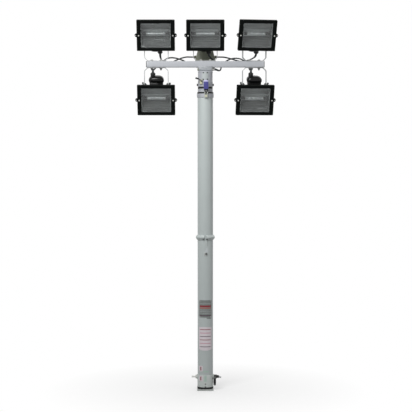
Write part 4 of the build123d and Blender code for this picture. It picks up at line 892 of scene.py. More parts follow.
# %% The striped sticker
STICKER_Z = (207, 316)
FIRST_BAR_DOWN, BAR_PITCH, BAR_TALL = 14, 17, 3
sticker = wrapped(TUBE_R, 0.2, (-31, 31), STICKER_Z, 30)
for half, drop in ((29, 3), (24, 5.4), (16, 7)):
    joined(sticker, wrapped(TUBE_R, 0.2, (-half, half), (STICKER_Z[0] - drop, STICKER_Z[0]), 20))
piece("sticker", sticker, "mast_base", label_white)
reds, pinks, darks = bmesh.new(), bmesh.new(), bmesh.new()
for row in range(6):
    height = STICKER_Z[1] - FIRST_BAR_DOWN - BAR_PITCH * row
    bar = wrapped(TUBE_R + STICKER_LIFT, INK_THICK, (-26, 26), (height, height + BAR_TALL), 20)
    joined((reds, pinks, darks)[row % 3], bar)
piece("sticker_red_bars", reds, "mast_base", red_ink)
piece("sticker_pink_bars", pinks, "mast_base", pink_ink)
piece("sticker_dark_bars", darks, "mast_base", dark_ink)

# %% Two oval tags, a pale strip and a pale streak near the ports
tags, tag_bars = bmesh.new(), bmesh.new()
for height in (110, 61):
    radius = TUBE_R if height > cup_top else CUP_R
    joined(tags, wrapped(radius, 0.2, (-31, -12), (height - 12, height + 12), 12))
    joined(tags, wrapped(radius, 0.2, (-29, -14), (height - 14, height + 14), 10))
    joined(tag_bars, wrapped(radius + STICKER_LIFT, INK_THICK, (-24.5, -20), (height - 9, height + 9), 4))
piece("oval_tags", tags, "mast_base", label_white)
piece("tag_bars", tag_bars, "mast_base", red_ink)
piece("pale_strip", wrapped(TUBE_R, 0.3, (-10, 16), (92, 99), 10), "mast_base", drip_stain)
piece("pale_streak", wrapped(CUP_R, 0.12, (-5, 6), (46, cup_top - 3), 6), "mast_base", drip_stain)

# %% [markdown]
# ## Collars and seals
# Where one section slides out of the next, a collar carries the guide and a rubber wiper lies on top of
# it. The wiper has two soft lips, so its outline is a little wave and not a plain step. The collars are
# cast and then turned, which leaves a fine chamfer at each end and a shallow groove round the middle.


# %% Collars and wiper seals
def collar(node, bore, groove=0.7, chamfer=1.2):
    """A turned collar with chamfers and a shallow groove, as high and as wide as its CAD node."""
    low, high = reach(node)
    radius, middle = high.x, (low.z + high.z) / 2
    return turned([(bore, low.z), (radius - chamfer, low.z), (radius, low.z + chamfer),
                   (radius, middle - 1.6), (radius - groove, middle - 1), (radius - groove, middle + 1),
                   (radius, middle + 1.6), (radius, high.z - chamfer), (radius - chamfer, high.z),
                   (bore, high.z), (bore, low.z)], 96)


def wiper(node, bore):
    """A rubber seal with two round lips."""
    low, high = reach(node)
    radius, height = high.x, high.z - low.z
    lips = [(0.0, -1.6), (0.1, -0.5), (0.24, 0), (0.38, -0.4), (0.5, -1.5), (0.62, -0.4), (0.76, 0),
            (0.9, -0.5), (1.0, -1.6)]
    outline = [(radius + back, low.z + share * height) for share, back in lips]
    return turned([(bore, low.z)] + outline + [(bore, high.z), (bore, low.z)], 96)


MIDDLE_R = TUBE_R - 6
INNER_R = MIDDLE_R - 6
low, high = reach("base_collar")
base_sleeve = turned([(MIDDLE_R + 0.5, high.z), (high.x - 1.4, high.z), (high.x, high.z - 1.4),
                      (high.x, low.z + 3.4), (high.x - 1.2, low.z + 1.6), (TUBE_R + 0.2, low.z),
                      (TUBE_R + 0.2, high.z - 8), (MIDDLE_R + 0.5, high.z - 8), (MIDDLE_R + 0.5, high.z)],
                     96)
piece("lower_collar", base_sleeve, "mast_base", collar_paint, "base_collar")
piece("lower_wiper", wiper("lower_seal", MIDDLE_R + 0.5), "mast_base", black_rubber, "lower_seal")
piece("middle_sleeve", collar("middle_collar", INNER_R + 0.5), "middle_section", collar_paint,
      "middle_collar")
piece("upper_wiper", wiper("upper_seal", INNER_R + 0.5), "middle_section", black_rubber, "upper_seal")
piece("head_collar", collar("top_collar", INNER_R + 0.1, 1.0), "mast_head", collar_paint, "top_collar")

# %% Grub screws round the lower collar
collar_low, collar_high = reach("base_collar")
collar_screws = bmesh.new()
for turn in (40, 140, 220, 320):
    direction = Vector((cos(radians(turn)), sin(radians(turn)), 0))
    screw = turned([(0, 0.3), (1.6, 0.3), (2.0, 0.8), (3.2, 0.8), (3.6, 0.3), (3.6, 0), (0, 0)], 24)
    start = direction * (collar_high.x - 0.9) + Vector((0, 0, (collar_low.z + collar_high.z) / 2 + 1))
    joined(collar_screws, moved(screw, toward(start, direction)))
piece("collar_grub_screws", collar_screws, "mast_base", dark_steel)

# %% [markdown]
# ## The latch and the clamp lever
# A blue grip on a dark fork holds the sections down for transport. It swings forward on a pin in a
# yellow-passivated foot. Beside it a cranked lever clamps the head. The grip is dipped plastic, so its
# outline swells softly, which a shell through a few rounded sections gives.

# %% Latch foot and pin
plated_foot = finish("zinc_yellow", "B2B6AE", 0.4, 0.4, name="plated_foot", mottle=0.2, bump=0.03)
piece("latch_foot", filed("latch_base", 0.5), "mast_base", plated_foot, "latch_base")
latch_at = pivots["latch"]
foot_low, foot_high = reach("latch_base")
tongue = block((latch_at.x - 4.2, latch_at.x + 4.2), (foot_low.y - 0.15, foot_low.y + 1),
               (foot_low.z + 3, latch_at.z - 13), 0.12)
piece("foot_tongue", tongue, "mast_base", zinc_yellow)
pin_ends = bmesh.new()
for x, way in ((foot_low.x, 1), (foot_high.x, -1)):
    head = turned([(0, 0), (2.4, 0), (3.1, 0.7), (3.1, 1.6), (0, 1.6)], 24)
    joined(pin_ends, moved(head, toward((x, latch_at.y, latch_at.z), (way, 0, 0))))
piece("latch_pin", pin_ends, "mast_base", dark_steel)
# A dark strip on the collar below the latch: painted shadow of the latch.
latch_painted_shadow = softened(wrapped(collar_high.x, 1.6, (latch_at.x - 9, latch_at.x + 9),
                         (collar_low.z, collar_low.z + 4.5), 8), 0.4)
piece("latch_shadow_plate", latch_painted_shadow, "mast_base", dark_steel)

# %% The dark fork
GRIP_UP = 15.0
hub = turned([(0, -4.2), (4.0, -4.2), (4.5, -3.7), (4.5, 3.7), (4.0, 4.2), (0, 4.2)], 32)
fork = moved(hub, toward(latch_at, (1, 0, 0)))
for side in (-1, 1):
    arm = rounded_sheet(5.4, 20, 2.2)
    thickened(arm, 4.6)
    softened(arm, 0.7)
    lean = Matrix.Rotation(side * radians(24), 4, "Y")
    place = Matrix.Translation((latch_at.x + side * 5.4, latch_at.y + 2.3, latch_at.z + 8.6))
    joined(fork, moved(arm, place @ lean @ Matrix.Rotation(radians(90), 4, "X")))
web = block((latch_at.x - 4, latch_at.x + 4), (latch_at.y - 1.4, latch_at.y + 1.4),
            (latch_at.z, latch_at.z + 17), 0.6)
piece("latch_fork", joined(fork, web), "latch", black_plastic, "latch_handle")
nut = moved(hexagon(4.4, 3), toward((latch_at.x, latch_at.y - 2.2, latch_at.z + 7), (0, -1, 0)))
piece("latch_nut", nut, "latch", dark_steel)

# %% The blue grip and its top, painted pale as a highlight
grip_low, grip_high = reach("latch_handle")
GRIP_WIDE, GRIP_DEEP = grip_high.x - grip_low.x, 15.2
grip_y = grip_high.y - GRIP_DEEP / 2 - 0.2
tall = grip_high.z - (latch_at.z + GRIP_UP)
sections = [(GRIP_WIDE * wide, GRIP_DEEP * deep, 5.5 * deep, tall * up) for wide, deep, up in
            ((0.70, 0.70, 0.0), (0.84, 0.9, 0.03), (0.92, 0.98, 0.12), (0.97, 1.0, 0.3), (0.96, 1.0, 0.55),
             (0.94, 0.98, 0.72), (0.86, 0.92, 0.80), (0.80, 0.84, 0.82))]
grip = bridged(sections, steps=7)
grip_place = Matrix.Translation((latch_at.x, grip_y, latch_at.z + GRIP_UP))
piece("latch_grip", moved(grip, grip_place), "latch", blue_grip)
# The grip's top is the pale copy of its plastic: painted highlight.
sections = [(GRIP_WIDE * wide, GRIP_DEEP * deep, 5.0 * deep, tall * up) for wide, deep, up in
            ((0.78, 0.80, 0.81), (0.80, 0.84, 0.84), (0.76, 0.82, 0.92), (0.66, 0.70, 0.985),
             (0.5, 0.5, 1.0))]
piece("latch_grip_top", moved(bridged(sections, steps=7), grip_place), "latch", grip_highlight_paint)
keeper = block((latch_at.x - 9, latch_at.x + 9), (grip_y - 2, grip_y + 4),
               (latch_at.z + 12.6, latch_at.z + 16.2), 1.0)
piece("grip_keeper", keeper, "latch", black_plastic)

# %% Lever bracket, screws and the cranked lever
piece("lever_bracket", filed("collar_hardware", 0.5), "mast_head", zinc_yellow, "collar_hardware")
clamp_at = pivots["clamp_handle"]
lever = filed("clamp_lever", 0.7)
piece("cranked_lever", lever, "clamp_handle", black_plastic, "clamp_lever")
top_collar_low, top_collar_high = reach("top_collar")
knob_z = (top_collar_low.z + top_collar_high.z) / 2
hardware_high = reach("collar_hardware")[1]
side_knobs = bmesh.new()
for side in (-1, 1):
    out = hardware_high.x - top_collar_high.x
    knob = turned([(0, -1), (5.8, -1), (5.8, out - 1.6), (5.0, out - 0.2), (2.4, out - 0.2),
                   (2.2, out - 1.6), (0, out - 1.6)], 24)
    joined(side_knobs, moved(knob, toward((side * top_collar_high.x, 0, knob_z), (side, 0, 0))))
piece("side_knobs", side_knobs, "mast_head", black_plastic)
stud_nut = joined(hexagon(3.6, 2.2), turned([(0, 3), (1.8, 2.8), (2, 2), (0, 2)], 20))
lever_low = reach("clamp_lever")[0]
piece("lever_nut", moved(stud_nut, toward((clamp_at.x, lever_low.y + 3.0, clamp_at.z), (0, -1, 0))),
      "mast_head", dark_steel)

# %% [markdown]
# ## Head and saddle
# A short canister closes the inner tube and carries a saddle, an upturned tray with a cheek on each side
# of the arm. A blank plate with four dark rivets sits on its front.

# %% The canister with rolled rims
can_low, can_high = reach("head_can")
CAN_R = can_high.x
can = turned([(INNER_R, can_low.z), (CAN_R - 1.4, can_low.z), (CAN_R - 0.2, can_low.z + 0.8),
              (CAN_R - 0.2, can_low.z + 3.4), (CAN_R - 1, can_low.z + 4.2), (CAN_R - 1, can_high.z - 6),
              (CAN_R - 0.1, can_high.z - 5), (CAN_R - 0.1, can_high.z - 1), (CAN_R - 1, can_high.z),
              (INNER_R - 10, can_high.z)], 96)
piece("head_canister", can, "mast_head", collar_paint, "head_can")
name_low, name_high = reach("name_plate")
name_face = finish("bright_plate", "A4AAAA", 0.5, 0.1, name="name_plate_face", mottle=0.15, bump=0.02)
plate = softened(wrapped(CAN_R - 1, 1.3, (name_low.x, name_high.x), (name_low.z, name_high.z), 14), 0.2)
piece("blank_name_plate", plate, "mast_head", name_face, "name_plate")
rivets = bmesh.new()
middle = (name_low.z + name_high.z) / 2
for x in (-9.6, 9.6):
    for height in (middle - 16, middle + 16):
        rivet = turned([(0, 1.6), (1.6, 1.5), (2.9, 1.0), (3.3, 0.3), (3.3, 0), (0, 0)], 20)
        turn = asin(x / CAN_R)
        joined(rivets, moved(rivet, toward((x, -CAN_R * cos(turn) - 0.1, height),
                                           (sin(turn), -cos(turn), 0))))
piece("name_plate_rivets", rivets, "mast_head", black_plastic)
# The saddle and its lip wear the darker copy of the arm paint, as painted shade.
piece("arm_saddle", filed("saddle", 1.0, 3), "mast_head", saddle_paint, "saddle")
saddle_low, saddle_high = reach("saddle")
lip = block((saddle_low.x + 1, saddle_high.x - 1), (saddle_low.y - 2.6, saddle_low.y + 1),
            (saddle_low.z + 3, saddle_low.z + 15), 1.8)
piece("saddle_lip", lip, "mast_head", saddle_paint)

# %% [markdown]
# ## The crossarm
# The arm is a square steel tube with rounded corners. Six rounded squares bridged into a closed shell
# give it an outside, an inside and softened ends. It is then cut across into short lengths, which keeps
# its faces from being very long and thin. Plastic caps close the ends, and each yoke is held by two bolts
# right through the tube.

# %% Square tube and end caps
arm_low, arm_high = reach("crossarm")
arm_long, arm_side = arm_high.x - arm_low.x, arm_high.z - arm_low.z
arm_z = (arm_low.z + arm_high.z) / 2
along_arm = toward((arm_low.x, 0, arm_z), (1, 0, 0))
inner_side = arm_side - 4
tube = bridged([(arm_side - 0.6, arm_side - 0.6, 2.6, 0), (arm_side, arm_side, 3, 0.4),
                (arm_side, arm_side, 3, arm_long - 0.4), (arm_side - 0.6, arm_side - 0.6, 2.6, arm_long),
                (inner_side, inner_side, 1.5, arm_long), (inner_side, inner_side, 1.5, 0)], closed=True)
ARM_CUTS = 24
for n in range(1, ARM_CUTS):
    bmesh.ops.bisect_plane(tube, geom=tube.verts[:] + tube.edges[:] + tube.faces[:],
                           plane_co=(0, 0, arm_long * n / ARM_CUTS), plane_no=(0, 0, 1))
piece("square_arm", moved(tube, along_arm), "mast_head", arm_paint, "crossarm")
cap_high = reach("arm_caps")[1].x
CAP_OUT = cap_high - arm_high.x
caps = bmesh.new()
for side in (-1, 1):
    cap = bridged([(inner_side - 0.4, inner_side - 0.4, 1.4, -8),
                   (inner_side - 0.4, inner_side - 0.4, 1.4, 0),
                   (arm_side - 0.2, arm_side - 0.2, 3, 0), (arm_side, arm_side, 3, 0.5),
                   (arm_side - 0.4, arm_side - 0.4, 3, 1.5), (arm_side - 2.4, arm_side - 2.4, 3, CAP_OUT),
                   (arm_side - 12, arm_side - 12, 2, CAP_OUT)])
    joined(caps, moved(cap, toward((side * arm_high.x, 0, arm_z), (side, 0, 0))))
piece("arm_end_caps", caps, "mast_head", black_plastic, "arm_caps")

# %% Bolts, washers and nuts through each yoke
lamp_xs = sorted({round(at.x, 3) for name, at in pivots.items() if name.startswith("lamp_")})
BOLT_PITCH = 45.0
WASHER = [(0, 0), (8, 0), (8.2, 0.3), (8.2, 0.9), (8, 1.2), (0, 1.2)]
WASHER_THICK = 1.2
bolts, nuts = bmesh.new(), bmesh.new()
for x in lamp_xs:
    under = arm_low.z - (3 if x else 4)
    for bolt_x in (x - BOLT_PITCH / 2, x + BOLT_PITCH / 2):
        washer = turned(WASHER, 32)
        head = moved(hexagon(6.5, 4.2, 0.7), Matrix.Translation((0, 0, WASHER_THICK)))
        joined(bolts, moved(joined(washer, head), toward((bolt_x, 0, arm_high.z + 3), (0, 0, 1))))
        washer = turned(WASHER, 32)
        nut = moved(hexagon(6.5, 4.6, 0.7), Matrix.Translation((0, 0, WASHER_THICK)))
        thread = [(0, 5)] + [(4.0 - 0.5 * (n % 2), 5 + 0.6 * n) for n in range(10)] + [(2.8, 11.3), (0, 11.4)]
        joined(nuts, moved(joined(washer, nut, turned(thread, 24)), toward((bolt_x, 0, under), (0, 0, -1))))
piece("arm_bolt_heads", bolts, "mast_head", plated_steel, "arm_bolts")
piece("arm_bolt_nuts", nuts, "mast_head", dark_steel)

# %% [markdown]
# ## Yokes
# Each lamp swings in a yoke: a flat steel strip with two bends near the arm and rounded ends at the
# pivots. A strip is easiest to make as its outline, drawn out to its width, with the bends rounded by a
# bevel and the thickness added last.


# %% A bent strip
STRIP_WIDE, STRIP_THICK = 20.0, 3.0
END_ROUND, BEND_ROUND = 9.9, 5


def yoke_strip():
    """The yoke about its pivots at the origin, with its base down."""
    leg, base, rise = 59.5, 43.5, 86.0
    knee = leg - base
    bm = bmesh.new()
    outline = [(-leg, 10), (-leg, knee - rise), (-base, -rise), (base, -rise), (leg, knee - rise), (leg, 10)]
    corners = [bm.verts.new((x, -STRIP_WIDE / 2, z)) for x, z in outline]
    edges = [bm.edges.new(pair) for pair in zip(corners, corners[1:])]
    drawn = bmesh.ops.extrude_edge_only(bm, edges=edges)
    far_side = [part for part in drawn["geom"] if isinstance(part, bmesh.types.BMVert)]
    bmesh.ops.translate(bm, vec=(0, STRIP_WIDE, 0), verts=far_side)
    bends = [edge for edge in bm.edges if len(edge.link_faces) == 2]
    bmesh.ops.bevel(bm, geom=bends, offset=BEND_ROUND, offset_type="OFFSET", segments=4, profile=0.5,
                    affect="EDGES", material=-1)
    ends = [vert for vert in bm.verts if vert.co.z > 9.9]
    bmesh.ops.bevel(bm, geom=ends, offset=END_ROUND, offset_type="OFFSET", segments=8, profile=0.5,
                    affect="VERTICES", material=-1)
    bmesh.ops.recalc_face_normals(bm, faces=bm.faces)
    bmesh.ops.solidify(bm, geom=bm.faces[:], thickness=STRIP_THICK)
    bmesh.ops.recalc_face_normals(bm, faces=bm.faces)
    return softened(bm, 0.4, 2, 50)


# %% Five yokes, two of them turned a little on the arm
yaws = {joint["child"]: atan2(joint["axis"][1], joint["axis"][0]) for joint in frame["joints"]
        if joint["child"].startswith("lamp_")}


def upright(lamp):
    """A pivot's place, turned about Z as its yoke is turned on the arm."""
    return Matrix.Translation(pivots[lamp]) @ Matrix.Rotation(yaws[lamp], 4, "Z")


yoke_steel = finish("plated_steel", "909293", 0.36, 0.8, name="yoke_steel", mottle=0.16, bump=0.03,
                    dust_and_shade=0.1, wear=0.2)
for lamp in yaws:
    over = Matrix.Rotation(pi if "lower" in lamp else 0, 4, "Y")
    made = piece(lamp.replace("lamp", "bent_yoke"), moved(yoke_strip(), upright(lamp) @ over), "mast_head",
                 yoke_steel, lamp.replace("lamp", "yoke"))
    yoke_high = reach(lamp.replace("lamp", "yoke"))[1]
    spans = [max(v.co[n] for v in made.data.vertices) / MM - yoke_high[n] for n in range(3)]
    print("  beyond the CAD yoke by", [round(s, 2) for s in spans])

# %% [markdown]
# ## The floodlights
# All five lamps are the same casting. Each piece is made once in the lamp's own frame, where the pivot is
# the origin, the glass looks along -Y and the yoke side is down, and is then set in place five times.
# The standing lamps are tipped forward a little, and the two hanging ones are turned over first.

# %% The lamp's own frame
LAMP_TILT = radians(22)
FACE_Y, FACE_RISE = -63.0, 58.5
BEZEL = (185.0, 154.0)
WINDOW = (147.0, 124.0)
LIP = 3.4
lamps = list(yaws)
ONTO_FACE = Matrix.Translation((0, FACE_Y, FACE_RISE)) @ Matrix.Rotation(radians(-90), 4, "X")


def seat(lamp):
    """Where a lamp's own frame stands on the mast."""
    over = Matrix.Rotation(pi if "lower" in lamp else 0, 4, "Y")
    return upright(lamp) @ Matrix.Rotation(LAMP_TILT, 4, "X") @ over


def on_every_lamp(name, shape, material, stands_for=None):
    """Sets a copy of a lamp piece on each of the five lamps."""
    pattern = bpy.data.meshes.new("pattern")
    shape.to_mesh(pattern)
    shape.free()
    for lamp in lamps:
        copy = bmesh.new()
        copy.from_mesh(pattern)
        place = lamp[len("lamp"):]
        piece(name + place, moved(copy, seat(lamp)), lamp, material,
              *([stands_for + place] if stands_for else []))
    bpy.data.meshes.remove(pattern)


print("lamps", {lamp: tuple(round(v) for v in pivots[lamp]) for lamp in lamps})

# %% [markdown]
# ### The bezel
# The front frame is a die casting with a rolled outer edge, a flat face and a bevel down to the glass. A
# closed shell through rounded rectangles draws exactly that cross-section all the way round.

# %% Bezel frame
wide, tall = BEZEL
bezel = bridged([(wide, tall, 4, 14), (wide, tall, 4, 2.6), (wide - 0.8, tall - 0.8, 4, 1.0),
                 (wide - 2.6, tall - 2.6, 3.4, 0), (wide - 27, tall - 20, 4, 0),
                 (wide - 29, tall - 22, 4, 0.4), (WINDOW[0] + 1.2, WINDOW[1] + 1.2, 4, 1.6),
                 (WINDOW[0], WINDOW[1], 4, 2.2), (WINDOW[0], WINDOW[1], 4, LIP),
                 (wide - 8, tall - 8, 4, LIP), (wide - 8, tall - 8, 4, 14)], closed=True)
moved(bezel, ONTO_FACE)
for side in (-1, 1):
    lug = turned([(0, 0), (7.8, 0), (8.9, 0.7), (9.4, 1.8), (9.4, 5), (8.8, 6), (0, 6)], 36)
    joined(bezel, moved(lug, toward((side * (wide / 2 + 0.5), FACE_Y + 5, FACE_RISE), (0, 1, 0))))
on_every_lamp("rim", bezel, lamp_edge, "bezel")

# %% Bright screws in the bezel
screws = bmesh.new()
for side in (-1, 1):
    head = turned([(0, 0.2), (1.2, 0.25), (1.4, 1.0), (2.6, 1.3), (3.3, 0.8), (3.6, 0), (0, 0)], 24)
    joined(screws, moved(head, toward((side * 83, FACE_Y + 0.1, FACE_RISE), (0, -1, 0))))
    pin = turned([(0, 0), (2.4, 0), (2.6, 0.4), (2.6, 7.6), (2.2, 8), (0, 8)], 20)
    joined(screws, moved(pin, toward((side * (wide / 2 + 5.2), FACE_Y + 4, FACE_RISE), (0, 1, 0))))
on_every_lamp("rim_screws", screws, plated_steel)

# %% [markdown]
# ### Glass
# A toughened pane in a dark silicone gasket. Glass bends and mirrors what the camera sees through it,
# but a renderer's shadow rays stop at it, and the reflector behind would stay dark. Light Path lets most
# of the shadow rays through and leaves everything else to the glass.

# %% Clear toughened glass
clear_glass = bpy.data.materials.new("lamp_glass")
clear_glass["slot"] = "lamp_glass"
clear_glass.use_nodes = True
tree = clear_glass.node_tree
gloss = tree.nodes["Principled BSDF"]
gloss.inputs["Transmission Weight"].default_value = 1.0
gloss.inputs["IOR"].default_value = 1.5
place = tree.nodes.new("ShaderNodeTexCoord")
dust_and_shade_node = tree.nodes.new("ShaderNodeGroup")
dust_and_shade_node.node_tree = DUST_AND_SHADE
dust_and_shade_node.inputs["Color"].default_value = colour("CDD1D1")
dust_and_shade_node.inputs["Dust"].default_value = colour("9EA1A0")
dust_and_shade_node.inputs["Amount"].default_value = 0.35
tree.links.new(place.outputs["Object"], dust_and_shade_node.inputs["Vector"])
tree.links.new(dust_and_shade_node.outputs["Color"], gloss.inputs["Base Color"])
tree.links.new(math_node(tree, "ADD", 0.03, math_node(tree, "MULTIPLY", dust_and_shade_node.outputs["Mask"], 0.4)),
               gloss.inputs["Roughness"])
rays = tree.nodes.new("ShaderNodeLightPath")
stopped = math_node(tree, "SUBTRACT", 1.0, math_node(tree, "MULTIPLY", rays.outputs["Is Shadow Ray"], 0.85))
tree.links.new(stopped, gloss.inputs["Alpha"])

pane = softened(thickened(rounded_sheet(WINDOW[0] + 15.6, WINDOW[1] + 15.6, 5), 3.8), 0.3)
pane_at = Matrix.Translation((0, 0, LIP + 0.1))
on_every_lamp("pane", moved(moved(pane, pane_at), ONTO_FACE), clear_glass, "glass")
seal = bridged([(WINDOW[0] - 0.4, WINDOW[1] - 0.4, 4, LIP - 1.2), (WINDOW[0] - 0.4, WINDOW[1] - 0.4, 4, LIP),
                (WINDOW[0] - 3.4, WINDOW[1] - 3.4, 3, LIP), (WINDOW[0] - 3.0, WINDOW[1] - 3.0, 3, LIP - 0.6)],
               closed=True)
on_every_lamp("pane_seal", moved(seal, ONTO_FACE), black_rubber)

# %% [markdown]
# ### Reflector and tube
# Behind the glass a bright sheet is folded into a trough with shallow flutes along it, which spread the
# light. Its outline is a zigzag that a bevel rounds, drawn out across the lamp. The halogen tube lies
# along its middle between two ceramic holders, painted dark grey as shade.

# %% Fluted trough
TROUGH_HALF, FRONT_HALF, BACK_HALF = 70.0, 58.5, 17.0
TROUGH_DEEP, TROUGH_START = 46.0, 9.4
FLUTES, FLUTE_DEEP = 9, 2.6
trough = bmesh.new()
outline = [(TROUGH_START, -FRONT_HALF), (TROUGH_START + TROUGH_DEEP, -BACK_HALF),
           (TROUGH_START + TROUGH_DEEP, BACK_HALF), (TROUGH_START, FRONT_HALF)]
corners = [trough.verts.new((-TROUGH_HALF, FACE_Y + back, FACE_RISE + up)) for back, up in outline]
edges = [trough.edges.new(pair) for pair in zip(corners, corners[1:])]
bmesh.ops.subdivide_edges(trough, edges=[edges[0], edges[2]], cuts=FLUTES)
bmesh.ops.subdivide_edges(trough, edges=[edges[1]], cuts=3)
path = sorted(trough.verts, key=lambda vert: vert.co.z)
for n, vert in enumerate(path):
    if n % 2 and 0 < n < len(path) - 1:
        away = (vert.co - Vector((-TROUGH_HALF, FACE_Y + TROUGH_START, FACE_RISE))).normalized()
        vert.co -= away * FLUTE_DEEP
drawn = bmesh.ops.extrude_edge_only(trough, edges=trough.edges[:])
far_side = [part for part in drawn["geom"] if isinstance(part, bmesh.types.BMVert)]
bmesh.ops.translate(trough, vec=(2 * TROUGH_HALF, 0, 0), verts=far_side)
folds = [edge for edge in trough.edges if len(edge.link_faces) == 2]
bmesh.ops.bevel(trough, geom=folds, offset=1.6, offset_type="OFFSET", segments=2, profile=0.5, affect="EDGES",
                material=-1)
for side in (-1, 1):
    cheek = bmesh.new()
    points = [cheek.verts.new((side * TROUGH_HALF, FACE_Y + back, FACE_RISE + up)) for back, up in outline]
    cheek.faces.new(points)
    joined(trough, cheek)
bmesh.ops.recalc_face_normals(trough, faces=trough.faces)
# The trough's finish carries the dark film of painted shade.
on_every_lamp("fluted_trough", trough, reflector_sheet, "reflector")

# %% A bright rim round the trough's mouth
mouth = bridged([(2 * TROUGH_HALF + 6, 2 * FRONT_HALF + 4, 4, 9.2),
                 (2 * TROUGH_HALF + 6, 2 * FRONT_HALF + 4, 4, 9.9),
                 (2 * TROUGH_HALF - 0.4, 2 * FRONT_HALF - 0.4, 2, 9.9),
                 (2 * TROUGH_HALF - 0.4, 2 * FRONT_HALF - 0.4, 2, 9.2)], closed=True)
on_every_lamp("trough_rim", moved(mouth, ONTO_FACE), reflector_sheet)

# %% Halogen tube and holders
BULB_BACK, BULB_HALF = 37.0, 57.0
quartz = bpy.data.materials.new("quartz_tube")
quartz["slot"] = "lamp_glass"
quartz.use_nodes = True
tree = quartz.node_tree
gloss = tree.nodes["Principled BSDF"]
gloss.inputs["Transmission Weight"].default_value = 0.45
gloss.inputs["IOR"].default_value = 1.46
place = tree.nodes.new("ShaderNodeTexCoord")
cloud = ramp(tree, noise(tree, place.outputs["Object"], 90.0), 0.3, 0.7, 0.08, 0.4)
tree.links.new(cloud, gloss.inputs["Roughness"])
tree.links.new(mix_colour(tree, cloud, colour("F4F6F6"), colour("A8ACAC")), gloss.inputs["Base Color"])

bulb = turned([(0, -BULB_HALF + 12), (2.4, -BULB_HALF + 12), (3.4, -BULB_HALF + 15), (4.8, -BULB_HALF + 17),
               (4.8, -1.5), (4.8, 1.5), (4.8, BULB_HALF - 17), (3.4, BULB_HALF - 15), (2.4, BULB_HALF - 12),
               (0, BULB_HALF - 12)], 24)
nub = turned([(0, 7.4), (0.8, 6.8), (1.2, 5.4), (1.8, 4.4), (0, 4.4)], 16)
moved(nub, Matrix.Rotation(radians(90), 4, "Y"))
at_bulb = toward((0, FACE_Y + BULB_BACK, FACE_RISE), (1, 0, 0))
on_every_lamp("halogen_tube", moved(joined(bulb, nub), at_bulb), quartz)
filament_metal = finish("plated_steel", "8C8E8E", 0.35, 0.9, name="tungsten")
coil = turned([(0, -BULB_HALF + 18), (0.9, -BULB_HALF + 18), (0.9, BULB_HALF - 18), (0, BULB_HALF - 18)], 10)
for n in range(5):
    stay = turned([(0.8, -0.6), (3.6, -0.3), (3.6, 0.3), (0.8, 0.6)], 12)
    joined(coil, moved(stay, Matrix.Translation((0, 0, (n - 2) * 14))))
on_every_lamp("filament", moved(coil, at_bulb), filament_metal)
ends = bmesh.new()
for side in (-1, 1):
    pinch = bridged([(9, 3, 1, BULB_HALF - 13), (9, 3.4, 1, BULB_HALF - 5), (8, 7, 2.4, BULB_HALF - 4),
                     (8, 7, 2.4, BULB_HALF + 1)])
    joined(ends, moved(pinch, toward((0, FACE_Y + BULB_BACK, FACE_RISE), (side, 0, 0))))
white_ceramic = finish("reflector", "B4B2AA", 0.6, name="white_ceramic", mottle=0.08, bump=0.06)
on_every_lamp("tube_ends", ends, white_ceramic)
holders = bmesh.new()
for side in (-1, 1):
    foot = block(sorted((side * 46, side * 69.8)), (FACE_Y + BULB_BACK - 6.5, FACE_Y + BULB_BACK + 7),
                 (FACE_RISE - 7, FACE_RISE + 7), 1.4)
    joined(holders, foot)
    backing = block(sorted((side * 66, side * 69.8)), (FACE_Y + BULB_BACK - 10, FACE_Y + BULB_BACK + 12),
                    (FACE_RISE - 12, FACE_RISE + 12), 1.0)
    joined(holders, backing)
# Painted shade: the pale ceramic holders are coloured dark grey.
on_every_lamp("tube_holders", holders, shaded_ceramic)

# %% [markdown]
# ### The cast trough
# The housing tapers from the flange behind the glass to a narrow back with upright cooling fins. Under it
# sits the domed wiring box with its cable gland, and two ears take the pivot bolts.

# %% Housing shell and flange
shell = bridged([(156, 122, 5, 9.2), (176, 145, 5, 9.2), (176.2, 145.2, 5, 10), (176.2, 145.2, 5, 13.6),
                 (175, 144, 5, 14.2), (172.4, 138.4, 6, 14.4), (172, 138, 6, 16), (164, 99, 6, 46),
                 (154, 51, 7, 72), (151.2, 41, 7, 74.4), (148, 37, 6, 75), (146, 36, 6, 73),
                 (160, 96, 6, 45), (167, 132, 5, 15), (156, 122, 5, 13)], closed=True)
back_cover = bridged([(149, 38, 6, 72.4), (149, 38, 6, 74.8)])
joined(shell, back_cover)
moved(shell, ONTO_FACE)
for n in range(5):
    fin = rounded_sheet(9.6, 27.6, 3.4)
    thickened(fin, 2.4)
    softened(fin, 0.6)
    turn_fin = Matrix.Rotation(radians(90), 4, "Y") @ Matrix.Rotation(radians(90), 4, "Z")
    fin_at = Matrix.Translation(((n - 2) * 30 - 1.2, FACE_Y + 79.2, FACE_RISE))
    joined(shell, moved(moved(fin, turn_fin), fin_at))
for n in range(6):
    rib = block((-76, 76), (FACE_Y + 21 + n * 8.8, FACE_Y + 22.6 + n * 8.8),
                (FACE_RISE + 62 - n * 7.7, FACE_RISE + 66.6 - n * 7.7), 0.6)
    joined(shell, rib)
print("housing", len(shell.faces), "faces")

